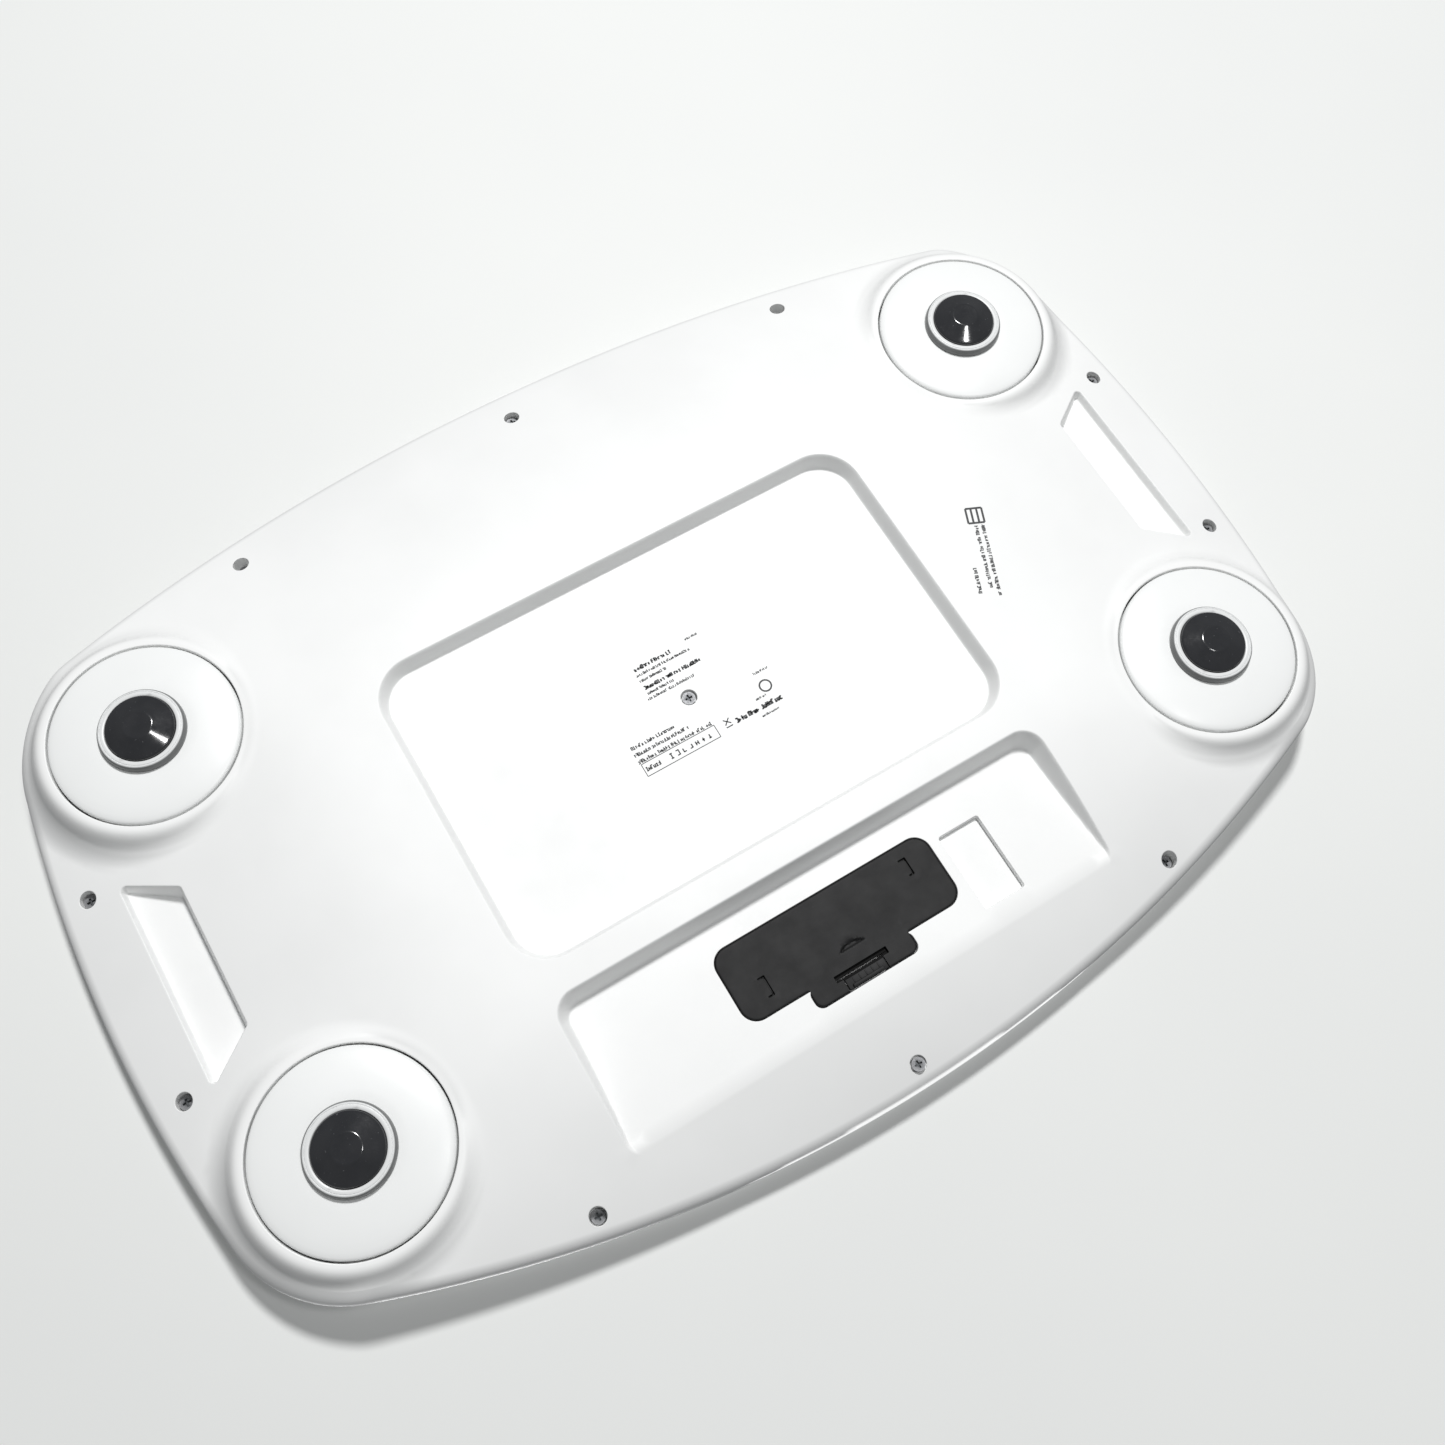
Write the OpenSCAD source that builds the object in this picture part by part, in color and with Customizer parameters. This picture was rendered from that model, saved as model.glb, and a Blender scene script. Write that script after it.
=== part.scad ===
// Wide-platform digital bathroom scale.
// The scale stands on its four feet: +Z is up, the floor is z = 0 and the origin is
// below the middle of the case. The display is on the +Y side, the battery door on -Y.

/* [Case] */
// Length of the case, left to right
case_l = 580; // [570:1:600]
// Reach of the case in front of the origin, at the display
front_reach = 197; // [195:1:202]
// Reach of the case behind the origin, at the battery door
rear_reach = 201; // [199:1:206]
// Radius of the case's corners in plan
corner_r = 62; // [58:1:66]
// Height of the platform above the floor
case_h = 52; // [50:0.5:58]
// Height of the seam between base shell and platform cover
seam_z = 38; // [37.5:0.5:39]
// Wall thickness of the moulded shells
wall = 2.6; // [2:0.1:3]

/* [Underside] */
// Height of the flat middle of the underside
plateau_z = 9; // [8:0.5:9.5]
// Half length of the flat middle
flat_x = 143; // [135:1:150]
// Half width of the flat middle
flat_y = 76; // [72:1:80]
// How far the underside has risen where the case screws are
edge_rise = 18.9; // [16:0.1:19]

/* [Feet] */
// Distance of a foot's centre from the origin along X
foot_x = 219.5; // [215:0.5:222]
// Distance of a foot's centre from the origin along Y
foot_y = 102.5; // [100:0.5:104]
// Radius of the crowned foot disc
disc_r = 41.6; // [40:0.1:42]
// Gap between the foot disc and its opening
disc_gap = 0.8; // [0.6:0.1:1]
// Radius of the rubber pad
pad_r = 15.1; // [14:0.1:16]
// Outer radius of the grey collar around the pad
collar_r = 19.1; // [18.8:0.1:20]

/* [Recesses] */
// Length of the middle recess
main_l = 252; // [240:1:260]
// Width of the middle recess
main_w = 154; // [150:1:156]
// Depth of the middle recess
main_depth = 9.2; // [7:0.1:10]
// Length of the battery recess
bay_l = 248; // [240:1:250]
// Height of the battery recess's floor above the ground
bay_z = 22.2; // [21.5:0.1:22.5]
// Height of the hand grips' floor above the ground
grip_z = 29; // [27:0.5:30]

/* [Battery door] */
// Length of the battery door
door_l = 111; // [110:0.5:112]
// Width of the battery door
door_w = 34.8; // [34:0.2:35]
// Thickness of the battery door
door_t = 2.4; // [2:0.1:2.4]
// Length of the latch ear
ear_l = 52; // [48:1:54]

/* [Display and keys] */
// Length of the display bezel
bezel_l = 132; // [126:1:136]
// Width of the display bezel
bezel_w = 46; // [44:1:48]
// Distance between two keys
key_pitch = 34; // [30:1:36]
// Radius of a key
key_r = 7; // [6:0.1:7]
// Travel of a key
key_travel = 0.8; // [0.4:0.1:0.8]

/* [Hidden] */
$fn = 96;

white = [0.93, 0.93, 0.92];
inner_white = [0.86, 0.86, 0.85];
charcoal = [0.2, 0.2, 0.2];
black = [0.06, 0.06, 0.06];
grey = [0.66, 0.67, 0.68];
zinc = [0.72, 0.73, 0.75];

// the four corners: [name's x sign, y sign]
FRONT_LEFT = [-1, 1];
FRONT_RIGHT = [1, 1];
REAR_LEFT = [-1, -1];
REAR_RIGHT = [1, -1];
CORNERS = [FRONT_LEFT, FRONT_RIGHT, REAR_LEFT, REAR_RIGHT];

// plan of the case: four shallow bows, with rounded corners concentric with the feet
front_bow_r = 765;
rear_bow_r = 670;
end_bow_r = 622;
// spans over which the underside rises from its flat middle to the screws
rise_span_x = 130;
rise_span_y = 103;
profile_steps = 12;

// screws: the middle one of each long side stands further out than its neighbours
front_screws = [[-149.4, 165.5], [0, 176.8], [149.4, 165.5]];
rear_screws = [[-147.9, -174.2], [0, -191.0], [147.9, -174.2]];
end_screws = [[-273, 52], [-272, -47.3], [273, 52], [272, -47.3]];
rim_screws = concat(front_screws, rear_screws, end_screws);
screw_well_r = 3.8;
screw_head_r = 3.1;
screw_head_h = 2.4;
screw_shank_r = 1.45;
screw_bore_r = 1.5;
post_r = 5.6;
well_floor_z = 34.4;
centre_screw_at = [2, 0];
centre_floor_z = plateau_z + main_depth + 3.6;

// foot stack, heights above the floor
opening_r = disc_r + disc_gap;
rim_r = 45.4;
rim_z = 10.9;
flare_r = 57.6;
pad_flat_r = 6.3;
pad_edge_z = 3.6;
ink_t = 0.12;
line_h = 1.1;
bold_h = 1.6;
collar_z = 4.4;
disc_seat_z = 9.4;
disc_edge_z = 10.8;
disc_t = 2.6;
disc_skirt_z = 18.5;
stem_r = 9;
ceiling_z = 21.4;
cell_z = 26;
stem_z = cell_z - 0.02;
cell_side = 36;
cell_t = 2.4;
cradle_side = 46;

// battery bay, behind the origin
bay_front_y = -91.6;
bay_rear_y = -166;
door_front_y = -106.7;
door_y = door_front_y - door_w / 2;
door_rear_y = door_front_y - door_w;
door_gap = 0.35;
ear_w = 9.2;
slot_l = 27;
slot_w = 3.2;
thumb_l = 20;
cell_r = 7.2;
cell_l = 50.2;
cell_row = 7.6;
cell_axis_z = 32.6;
cells_y = door_y + 1.2;
tray_top = 42;
tray_l = 114;
tray_front_y = -101.6;
tray_rear_y = -141.9;

// hand grips at the two ends
grip_in_x = 235.3;
grip_out_x = 259;
grip_in_half = 34;
grip_out_half = 49.5;

// display island, ahead of the middle
bezel_y = 152;
key_y = 115;
lcd_l = 90;
lcd_w = 32;
island_l = 156;
island_rear_y = 103;
board_z = 37.4;
board_t = 1.6;
board_l = 134;
board_rear_y = 106;
board_front_y = 170;
board_posts = [for (x = [-1, 1], y = [board_rear_y + 5, board_front_y - 5])
    [x * (board_l / 2 - 5), y]];
plate_z = 47.7;
plate_t = 1.1;
plate_inset = 30;
mat_inset = 20;
mat_t = 1.6;
mat_proud = 0.4;

module centred_box(size, z0, z1) {
    translate([0, 0, z0]) linear_extrude(z1 - z0) square(size, center = true);
}

module rounded_rect(l, w, r) {
    hull() for (x = [-1, 1], y = [-1, 1])
        translate([x * (l / 2 - r), y * (w / 2 - r)]) circle(r = r, $fn = 32);
}

module round_plate(l, w, r, z0, z1) {
    translate([0, 0, z0]) linear_extrude(z1 - z0) rounded_rect(l, w, r);
}

// Plan outline of the case, moved inwards by inset.
module outline(inset) {
    offset(r = corner_r - inset) offset(r = -corner_r) intersection() {
        translate([0, front_reach - front_bow_r]) circle(r = front_bow_r, $fn = 240);
        translate([0, rear_bow_r - rear_reach]) circle(r = rear_bow_r, $fn = 240);
        translate([case_l / 2 - end_bow_r, 0]) circle(r = end_bow_r, $fn = 240);
        translate([end_bow_r - case_l / 2, 0]) circle(r = end_bow_r, $fn = 240);
    }
}

module outline_slab(inset, z0, z1) {
    translate([0, 0, z0]) linear_extrude(z1 - z0) outline(inset);
}

// How far the underside has risen at distance d from the middle.
function rise(d, flat, span) = d <= flat ? 0 : edge_rise * pow((d - flat) / span, 2);

// Height profile of the underside across one direction, closed at the seam.
function profile(reach, flat, span, lift) = concat(
    [for (i = [-profile_steps : profile_steps])
        let (d = reach * i / profile_steps)
        [d, plateau_z + lift + rise(abs(d), flat, span)]],
    [[reach, case_h], [-reach, case_h]]);

// Solid under the crowned underside, up to the seam; lift and inset give the inner form.
module crowned(inset, lift, top) {
    intersection() {
        outline_slab(inset, plateau_z - 1, top);
        rotate([90, 0, 0]) linear_extrude(case_l, center = true)
            polygon(profile(case_l / 2 + 6, flat_x, rise_span_x, lift));
        rotate([90, 0, 90]) linear_extrude(case_l + 20, center = true)
            polygon(profile(rear_reach + 6, flat_y, rise_span_y, lift));
    }
}

module at_corner(c) {
    translate([c[0] * foot_x, c[1] * foot_y, 0]) children();
}

// Ring around a foot opening: a flat rim, then a flare out to the underside.
module foot_flare() {
    rotate_extrude() polygon([[opening_r, rim_z], [rim_r, rim_z], [47.6, 12.4], [50, 16],
        [53, 22], [flare_r, 29.5], [flare_r - 3.2, 29.5], [50.6, 23.4], [47.4, 17],
        [opening_r + wall, 14.6], [opening_r + wall, ceiling_z], [opening_r, ceiling_z]]);
}

module foot_ceiling() {
    rotate_extrude() polygon([[stem_r + 1.6, ceiling_z], [opening_r + wall, ceiling_z],
        [opening_r + wall, ceiling_z + wall], [stem_r + 1.6, ceiling_z + wall]]);
}

module screw_post(p, z1) {
    translate([p[0], p[1], 0]) cylinder(h = z1, r = post_r);
}

module screw_well(p, floor_z) {
    translate([p[0], p[1], 0]) cylinder(h = floor_z, r = screw_well_r);
    translate([p[0], p[1], 0]) cylinder(h = seam_z + 1, r = screw_shank_r + 0.35);
}

module grip_plan(side, grow) {
    polygon([[side * (grip_in_x - grow), grip_in_half + grow],
        [side * (grip_out_x + grow), grip_out_half + grow],
        [side * (grip_out_x + grow), -grip_out_half - grow],
        [side * (grip_in_x - grow), -grip_in_half - grow]]);
}

module bay_slab(grow, z0, z1) {
    translate([0, (bay_front_y + bay_rear_y) / 2, 0])
        round_plate(bay_l + 2 * grow, bay_front_y - bay_rear_y + 2 * grow, 10.5, z0, z1);
}

// Shallow pocket beside the battery door.
module pocket_slab(grow, z0, z1) {
    translate([-71.7, -132, 0]) centred_box([21.4 + 2 * grow, 38 + 2 * grow], z0, z1);
}

// Space that the latch ear and its catch need in the base.
module latch_space(grow, z0, z1) {
    translate([0, door_rear_y - 4.9, 0])
        centred_box([ear_l + 1.2 + 2 * grow, 11.4 + 2 * grow], z0, z1);
}

module base_shell() color(white) {
    difference() {
        union() {
            difference() {
                crowned(0, 0, seam_z);
                crowned(wall, wall, seam_z + 1);
            }
            for (c = CORNERS) at_corner(c) foot_flare();
            intersection() {
                crowned(0, 0, seam_z - 0.5);
                union() {
                    round_plate(main_l + 2 * wall, main_w + 2 * wall, 21,
                        plateau_z - 1, plateau_z + main_depth + wall);
                    bay_slab(wall, plateau_z - 1, bay_z + wall);
                    pocket_slab(wall, bay_z, bay_z + 3.2 + wall);
                    latch_space(wall, bay_z, 32);
                    for (s = [-1, 1])
                        linear_extrude(grip_z + wall) grip_plan(s, wall);
                    for (p = rim_screws) screw_post(p, seam_z - 0.5);
                    screw_post(centre_screw_at, centre_floor_z + 2);
                    for (c = CORNERS) at_corner(c) foot_ceiling();
                }
            }
            for (c = CORNERS) at_corner(c) foot_ceiling();
        }
        for (c = CORNERS) at_corner(c) cylinder(h = ceiling_z, r = opening_r);
        for (c = CORNERS) at_corner(c) cylinder(h = seam_z, r = stem_r + 1.6);
        round_plate(main_l, main_w, 20, 0, plateau_z + main_depth);
        bay_slab(0, 0, bay_z);
        pocket_slab(0, 0, bay_z + 3.2);
        latch_space(0, 0, 29.5);
        for (s = [-1, 1]) linear_extrude(grip_z) grip_plan(s, 0);
        for (p = rim_screws) screw_well(p, well_floor_z);
        screw_well(centre_screw_at, centre_floor_z);
        translate([0, door_y, 0])
            round_plate(door_l + 2 * door_gap, door_w + 2 * door_gap, 8, 0, bay_z + wall + 1);
        // pockets for the two hinge tabs of the battery door
        for (x = [-1, 1]) translate([x * 24, door_front_y + 1.6, 0])
            centred_box([9, 4], bay_z + wall - 0.2, bay_z + wall + 4);
    }
}

// Printed rating marks: plain bars of ink on the floor of the middle recess.
module ink_bar(from_x, to_x, y, height) {
    translate([to_x, y - height / 2]) square([from_x - to_x, height]);
}

module rating_print() color([0.25, 0.26, 0.28])
    translate([0, 0, plateau_z + main_depth - ink_t]) linear_extrude(ink_t) {
        // address block in front of the middle screw
        ink_bar(17, -3, 24.1, bold_h);
        ink_bar(17.6, -10.5, 21.3, line_h);
        ink_bar(17.6, 3, 18.6, line_h);
        ink_bar(17.5, -13.2, 14.6, bold_h);
        ink_bar(17.5, 2.9, 12.1, line_h);
        ink_bar(18, -8, 9.8, line_h);
        ink_bar(18.4, -6.1, 7.4, line_h);
        ink_bar(-10.8, -17.9, 25.9, line_h);
        // notice lines and an outlined box behind it
        ink_bar(37.5, 16, -8.8, line_h);
        ink_bar(37.9, 9, -12.4, line_h);
        ink_bar(38, -0.6, -15.6, line_h);
        translate([18.3, -20.5]) difference() {
            square([38.4, 6.6], center = true);
            square([37.6, 5.8], center = true);
        }
        ink_bar(25.5, 3.5, -20.5, 2);
        // maker's line, a round mark and two small lines
        ink_bar(-10.7, -36.1, -20.8, 2);
        ink_bar(-22.4, -32, -24.9, line_h);
        ink_bar(-29.4, -37.7, -5, line_h);
        translate([-31.5, -12.6]) difference() {
            circle(r = 3.6);
            circle(r = 2.7);
        }
    }

module platform_cover() color(white) {
    skirt_z = seam_z + 0.3;
    difference() {
        union() {
            outline_slab(0, skirt_z, case_h - 4);
            outline_slab(1.4, case_h - 4, case_h - 1.6);
            outline_slab(3.6, case_h - 1.6, case_h);
        }
        difference() {
            outline_slab(wall, skirt_z - 1, case_h - 3);
            for (p = rim_screws) translate([p[0], p[1], 0]) cylinder(h = case_h, r = post_r - 1);
            translate([centre_screw_at[0], centre_screw_at[1], 0])
                cylinder(h = case_h, r = post_r - 1);
            // board posts reach down to the circuit board
            for (p = board_posts) translate([p[0], p[1], board_z + board_t])
                cylinder(h = case_h, r = 3.4);
        }
        for (p = rim_screws) translate([p[0], p[1], 0])
            cylinder(h = case_h - 3, r = screw_bore_r);
        translate([centre_screw_at[0], centre_screw_at[1], 0])
            cylinder(h = case_h - 3, r = screw_bore_r);
        for (p = board_posts) translate([p[0], p[1], 0]) cylinder(h = case_h - 4, r = 1.1);
        mat_slab(0.2, case_h - mat_t + mat_proud, case_h + 1);
        translate([0, bezel_y, 0])
            round_plate(bezel_l + 0.5, bezel_w + 0.5, 9, case_h - 1.4, case_h + 1);
        translate([0, bezel_y, 0])
            round_plate(bezel_l - 16, bezel_w - 8, 4, case_h - 4, case_h + 1);
        for (i = [-1 : 1]) translate([i * key_pitch, key_y, 0])
            cylinder(h = case_h + 1, r = key_r + 0.4);
    }
    // the centre post reaches down to the middle recess
    translate([centre_screw_at[0], centre_screw_at[1], 0]) difference() {
        translate([0, 0, centre_floor_z + 2.4])
            cylinder(h = skirt_z - centre_floor_z - 2.4, r = post_r - 1);
        cylinder(h = case_h - 3, r = screw_bore_r);
    }
}

module mat_slab(grow, z0, z1) {
    difference() {
        outline_slab(mat_inset - grow, z0, z1);
        translate([0, island_rear_y + 60, 0])
            round_plate(island_l - 2 * grow, 120 - 2 * grow, 12, z0 - 1, z1 + 1);
    }
}

module platform_mat() color(grey) mat_slab(0, case_h - mat_t + mat_proud + 0.01, case_h + mat_proud);

module platform_plate() color(zinc) difference() {
    outline_slab(plate_inset, plate_z, plate_z + plate_t);
    translate([0, island_rear_y + 61, 0])
        centred_box([island_l - 24, 120], plate_z - 1, plate_z + plate_t + 1);
    translate([centre_screw_at[0], centre_screw_at[1], 0]) cylinder(h = case_h, r = post_r + 0.4);
}

module display_bezel() color(charcoal) translate([0, bezel_y, 0]) difference() {
    round_plate(bezel_l, bezel_w, 8.75, case_h - 1.3, case_h + 0.3);
    round_plate(bezel_l - 26, bezel_w - 14, 3, case_h - 2, case_h + 1);
}

module display_window() color([0.55, 0.6, 0.58]) translate([0, bezel_y, 0])
    round_plate(bezel_l - 17, bezel_w - 9, 3.6, case_h - 2.9, case_h - 1.35);

module lcd_panel() color([0.6, 0.66, 0.58]) translate([0, bezel_y, 0])
    centred_box([lcd_l, lcd_w], case_h - 6.4, case_h - 3.4);

module lcd_holder() color(inner_white) translate([0, bezel_y, 0]) difference() {
    centred_box([lcd_l + 4, lcd_w + 4], board_z + board_t, case_h - 3.4);
    centred_box([lcd_l + 0.4, lcd_w + 0.4], case_h - 6.6, case_h);
    centred_box([lcd_l - 8, lcd_w - 6], board_z, case_h);
}

module main_board() color([0.1, 0.35, 0.2]) difference() {
    translate([0, (board_rear_y + board_front_y) / 2, 0])
        centred_box([board_l, board_front_y - board_rear_y], board_z, board_z + board_t);
    for (p = board_posts) translate([p[0], p[1], 0]) cylinder(h = case_h, r = 1.3);
}

module board_chips() color(black) {
    translate([0, 150, board_z - 2]) centred_box([14, 14], 0, 2);
    translate([28, 150, board_z - 1.6]) centred_box([6, 9], 0, 1.6);
    translate([-26, 146, board_z - 3.4]) cylinder(h = 3.4, r = 2.5);
    for (x = [-40, -20, 20, 40]) translate([x, 124, board_z - 6])
        centred_box([9, 6], 0, 6);
    translate([0, 117, board_z - 6]) centred_box([7, 6], 0, 6);
}

module board_screws() color(zinc) {
    for (p = board_posts) translate([p[0], p[1], board_z - 1.6]) {
        cylinder(h = 1.6, r = 2.3);
        cylinder(h = 8, r = 1.05);
    }
}

module key_switches() color(black) {
    for (i = [-1 : 1]) translate([i * key_pitch, key_y, board_z + board_t]) {
        centred_box([6, 6], 0, 3.4);
        cylinder(h = 4.2, r = 1.7);
    }
}

module key(i) {
    bottom_z = board_z + board_t + 4.2 + key_travel + 0.1;
    translate([i * key_pitch, key_y, 0]) {
        translate([0, 0, case_h - 5]) cylinder(h = 5.3, r = key_r);
        translate([0, 0, case_h - 5]) cylinder(h = 1.4, r = key_r + 1.4);
        translate([0, 0, bottom_z]) cylinder(h = case_h - 4 - bottom_z, r = 2.2);
    }
}

module power_key() color(grey) key(-1);
module unit_key() color(grey) key(0);
module hold_key() color(grey) key(1);

module battery_tray() color(inner_white) {
    y_mid = (tray_front_y + tray_rear_y) / 2;
    y_size = tray_front_y - tray_rear_y;
    floor_z = bay_z + wall + 0.1;
    difference() {
        translate([0, y_mid, 0]) centred_box([tray_l, y_size], floor_z, tray_top);
        translate([0, y_mid, 0])
            centred_box([tray_l - 3.2, y_size - 3.2], floor_z - 1, tray_top - 1.6);
        // the latch catch and its space stand inside the tray's rear wall
        translate([0, door_rear_y - 5, 0]) centred_box([ear_l + 8, 17.4], floor_z - 1, 32.3);
        // lead outlet towards the circuit board
        translate([22, tray_front_y, 0]) centred_box([7, 6], 32, 38);
    }
    // rib between the two rows of cells
    translate([0, cells_y, 0]) centred_box([tray_l - 9, 0.6], tray_top - 6, tray_top - 1.6);
}

module cell(i) {
    row = i % 2 == 0 ? 1 : -1;
    side = i < 2 ? 1 : -1;
    mid_x = side * (cell_l / 2 + 0.3);
    tip = row > 0 ? 1 : -1;
    translate([mid_x, cells_y + row * cell_row, cell_axis_z]) rotate([0, 90, 0]) {
        translate([0, 0, tip > 0 ? -cell_l / 2 : -cell_l / 2 + 1.2])
            cylinder(h = cell_l - 1.2, r = cell_r);
        translate([0, 0, tip > 0 ? cell_l / 2 - 1.3 : -cell_l / 2]) cylinder(h = 1.3, r = 2.6);
    }
}

module battery_cell_1() color([0.75, 0.6, 0.3]) cell(0);
module battery_cell_2() color([0.75, 0.6, 0.3]) cell(1);
module battery_cell_3() color([0.75, 0.6, 0.3]) cell(2);
module battery_cell_4() color([0.75, 0.6, 0.3]) cell(3);

// Sheet contacts at both ends of the tray.
module contact_plates() color(zinc) {
    x_in = tray_l / 2 - 1.7;
    for (s = [-1, 1]) translate([s * (x_in - 0.25), cells_y, cell_axis_z])
        cube([0.4, 4 * cell_row - 2, 10], center = true);
}

// Conical springs, one at each end of the tray, against the flat end of a cell.
module contact_springs() color(zinc) {
    x_in = tray_l / 2 - 2.2;
    gap = x_in - cell_l - 0.4;
    for (s = [-1, 1]) translate([s * x_in, cells_y - s * cell_row, cell_axis_z])
        rotate([0, -s * 90, 0]) rotate_extrude()
            for (i = [0 : 3]) translate([5 - i * 0.7, 0.8 + i * (gap - 2) / 3])
                circle(r = 0.75, $fn = 24);
}

module door_plan() {
    translate([0, door_y]) rounded_rect(door_l, door_w, 7.65);
    translate([0, door_rear_y - ear_w / 2 + 3]) rounded_rect(ear_l, ear_w + 6, 4);
}

module battery_door() color(charcoal) {
    difference() {
        translate([0, 0, bay_z]) linear_extrude(door_t) door_plan();
        // the latch and the slot that it moves into
        translate([0, door_rear_y - 1.8, 0])
            centred_box([slot_l, slot_w], bay_z - 1, bay_z + door_t + 1);
        translate([0, door_rear_y - ear_w / 2 - 1.8, 0])
            centred_box([thumb_l + 0.8, ear_w], bay_z - 1, bay_z + door_t + 1);
        // bracket-shaped slots near the two ends
        for (s = [-1, 1]) translate([s * 46, door_y + 2, bay_z - 1]) {
            linear_extrude(1.7) square([1, 7], center = true);
            translate([s * 1.2, 3.2, 0]) linear_extrude(1.7) square([3.2, 1], center = true);
        }
    }
    // hinge tabs reach over the edge of the base
    for (s = [-1, 1]) translate([s * 24, 0, 0]) {
        translate([0, door_front_y - 1.2, 0]) centred_box([6, 2.2], bay_z + door_t, bay_z + 5);
        translate([0, door_front_y + 1.1, 0]) centred_box([6, 3.6], bay_z + 3.2, bay_z + 5);
    }
}

module door_latch() color(charcoal) {
    thumb_y = door_rear_y - 3.6;
    translate([0, thumb_y - 2.7, 0]) centred_box([thumb_l, 5], bay_z, bay_z + 1.8);
    // raised finger bar
    translate([0, thumb_y - 4.2, 0]) centred_box([thumb_l - 4, 1.6], bay_z - 1.2, bay_z + 1);
    // spring leg and nose above the plate
    translate([0, thumb_y - 1.1, 0]) centred_box([thumb_l - 4, 1.2], bay_z + 1, bay_z + 6.4);
    translate([0, thumb_y - 4.3, 0]) centred_box([thumb_l - 6, 1.8], bay_z + 1, bay_z + 5);
}

module pan_screw(z, head_r, length) {
    translate([0, 0, z]) difference() {
        union() {
            translate([0, 0, -screw_head_h]) cylinder(h = screw_head_h, r = head_r);
            cylinder(h = length, r = screw_shank_r);
        }
        for (a = [0, 90]) rotate([0, 0, a])
            translate([0, 0, -screw_head_h]) cube([head_r * 1.15, 0.9, 2.4], center = true);
    }
}

module case_screws() color(zinc)
    for (p = rim_screws) translate([p[0], p[1], 0]) pan_screw(well_floor_z, screw_head_r, 13);

module centre_screw() color(zinc) translate([centre_screw_at[0], centre_screw_at[1], 0])
    pan_screw(centre_floor_z, screw_head_r, 16);

// Half-bridge load cell: a sheet-steel frame with a tongue that the foot presses.
module load_cell(c) color(zinc) at_corner(c) translate([0, 0, cell_z]) difference() {
    linear_extrude(cell_t) rounded_rect(cell_side, cell_side, 3);
    for (s = [-1, 1]) translate([s * 9.5, 2, -1]) linear_extrude(cell_t + 2)
        square([2.4, 24], center = true);
    translate([0, 13, -1]) linear_extrude(cell_t + 2) square([21.4, 2.4], center = true);
    for (x = [-1, 1]) translate([x * 14.6, -14.6, -1]) cylinder(h = cell_t + 2, r = 1.7);
}

// Plastic cradle that holds the load cell's frame to the foot well's ceiling.
module cell_cradle(c) color(inner_white) at_corner(c) difference() {
    centred_box([cradle_side, cradle_side], ceiling_z + wall, cell_z + cell_t + 2.6);
    centred_box([cell_side + 0.4, cell_side + 0.4], cell_z - 0.01, cell_z + cell_t + 3);
    centred_box([cell_side - 9, cell_side - 4], ceiling_z, cell_z + 1);
}

// Two screws hold each load cell down at its rear corners.
module cell_screws() color(zinc)
    for (c = CORNERS) at_corner(c) for (x = [-1, 1])
        translate([x * 14.6, -14.6, 0]) {
            translate([0, 0, cell_z + cell_t]) cylinder(h = 1.6, r = 2.8);
            translate([0, 0, cell_z]) cylinder(h = cell_t, r = 1.5);
        }

// White crowned disc that floats in the foot opening, with its stem.
module foot_disc(c) color(white) at_corner(c) {
    rotate_extrude() polygon([[0, disc_seat_z], [collar_r + 0.1, disc_seat_z],
        [collar_r + 0.1, disc_seat_z - 1.1], [24, 8.4], [30, 8.8], [36, 9.5], [39.5, 10.1],
        [disc_r - 0.4, disc_edge_z - 0.1], [disc_r, disc_edge_z + 0.5], [disc_r, disc_skirt_z],
        [disc_r - 2.2, disc_skirt_z], [disc_r - 2.2, disc_edge_z + 2.4],
        [collar_r, disc_seat_z + disc_t], [stem_r, disc_seat_z + disc_t], [stem_r, stem_z],
        [0, stem_z]]);
    for (a = [0 : 45 : 315]) rotate([0, 0, a + 22.5])
        translate([(stem_r + disc_r) / 2 - 1, 0, 0])
            centred_box([disc_r - stem_r - 1, 1.6], disc_seat_z + 1.6, 16.5);
}

// Grey collar around the pad.
module foot_collar(c) color(grey) at_corner(c)
    rotate_extrude() polygon([[pad_r + 0.1, collar_z + 0.4], [pad_r + 0.5, collar_z],
        [collar_r - 0.9, collar_z], [collar_r - 0.4, collar_z + 0.5],
        [collar_r, collar_z + 2.6], [collar_r, disc_seat_z - 0.05],
        [pad_r + 0.1, disc_seat_z - 0.05]]);

// Rubber pad: a shallow cone with a flat middle that stands on the floor.
module foot_pad(c) color(black) at_corner(c)
    rotate_extrude() polygon([[0, 0], [pad_flat_r, 0], [pad_r - 0.6, pad_edge_z - 0.3],
        [pad_r, pad_edge_z + 0.4], [pad_r, disc_seat_z - 0.05], [0, disc_seat_z - 0.05]]);

// A wire bundle: a tube swept along a smooth curve through its points.
function unit(v) = v / norm(v);
function curve_point(a, b, c, d, t) = 0.5 * (2 * b + (c - a) * t
    + (2 * a - 5 * b + 4 * c - d) * t * t + (3 * b - a - 3 * c + d) * t * t * t);
function curve(p, steps) = concat(
    [for (i = [0 : len(p) - 2], k = [0 : steps - 1])
        curve_point(p[max(i - 1, 0)], p[i], p[i + 1], p[min(i + 2, len(p) - 1)], k / steps)],
    [p[len(p) - 1]]);
function ring(centre, along, r, sides) =
    let (across = unit(cross([0, 0, 1], along)), up = cross(along, across))
    [for (k = [0 : sides - 1]) centre + r * (cos(360 * k / sides) * across
        + sin(360 * k / sides) * up)];

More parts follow.
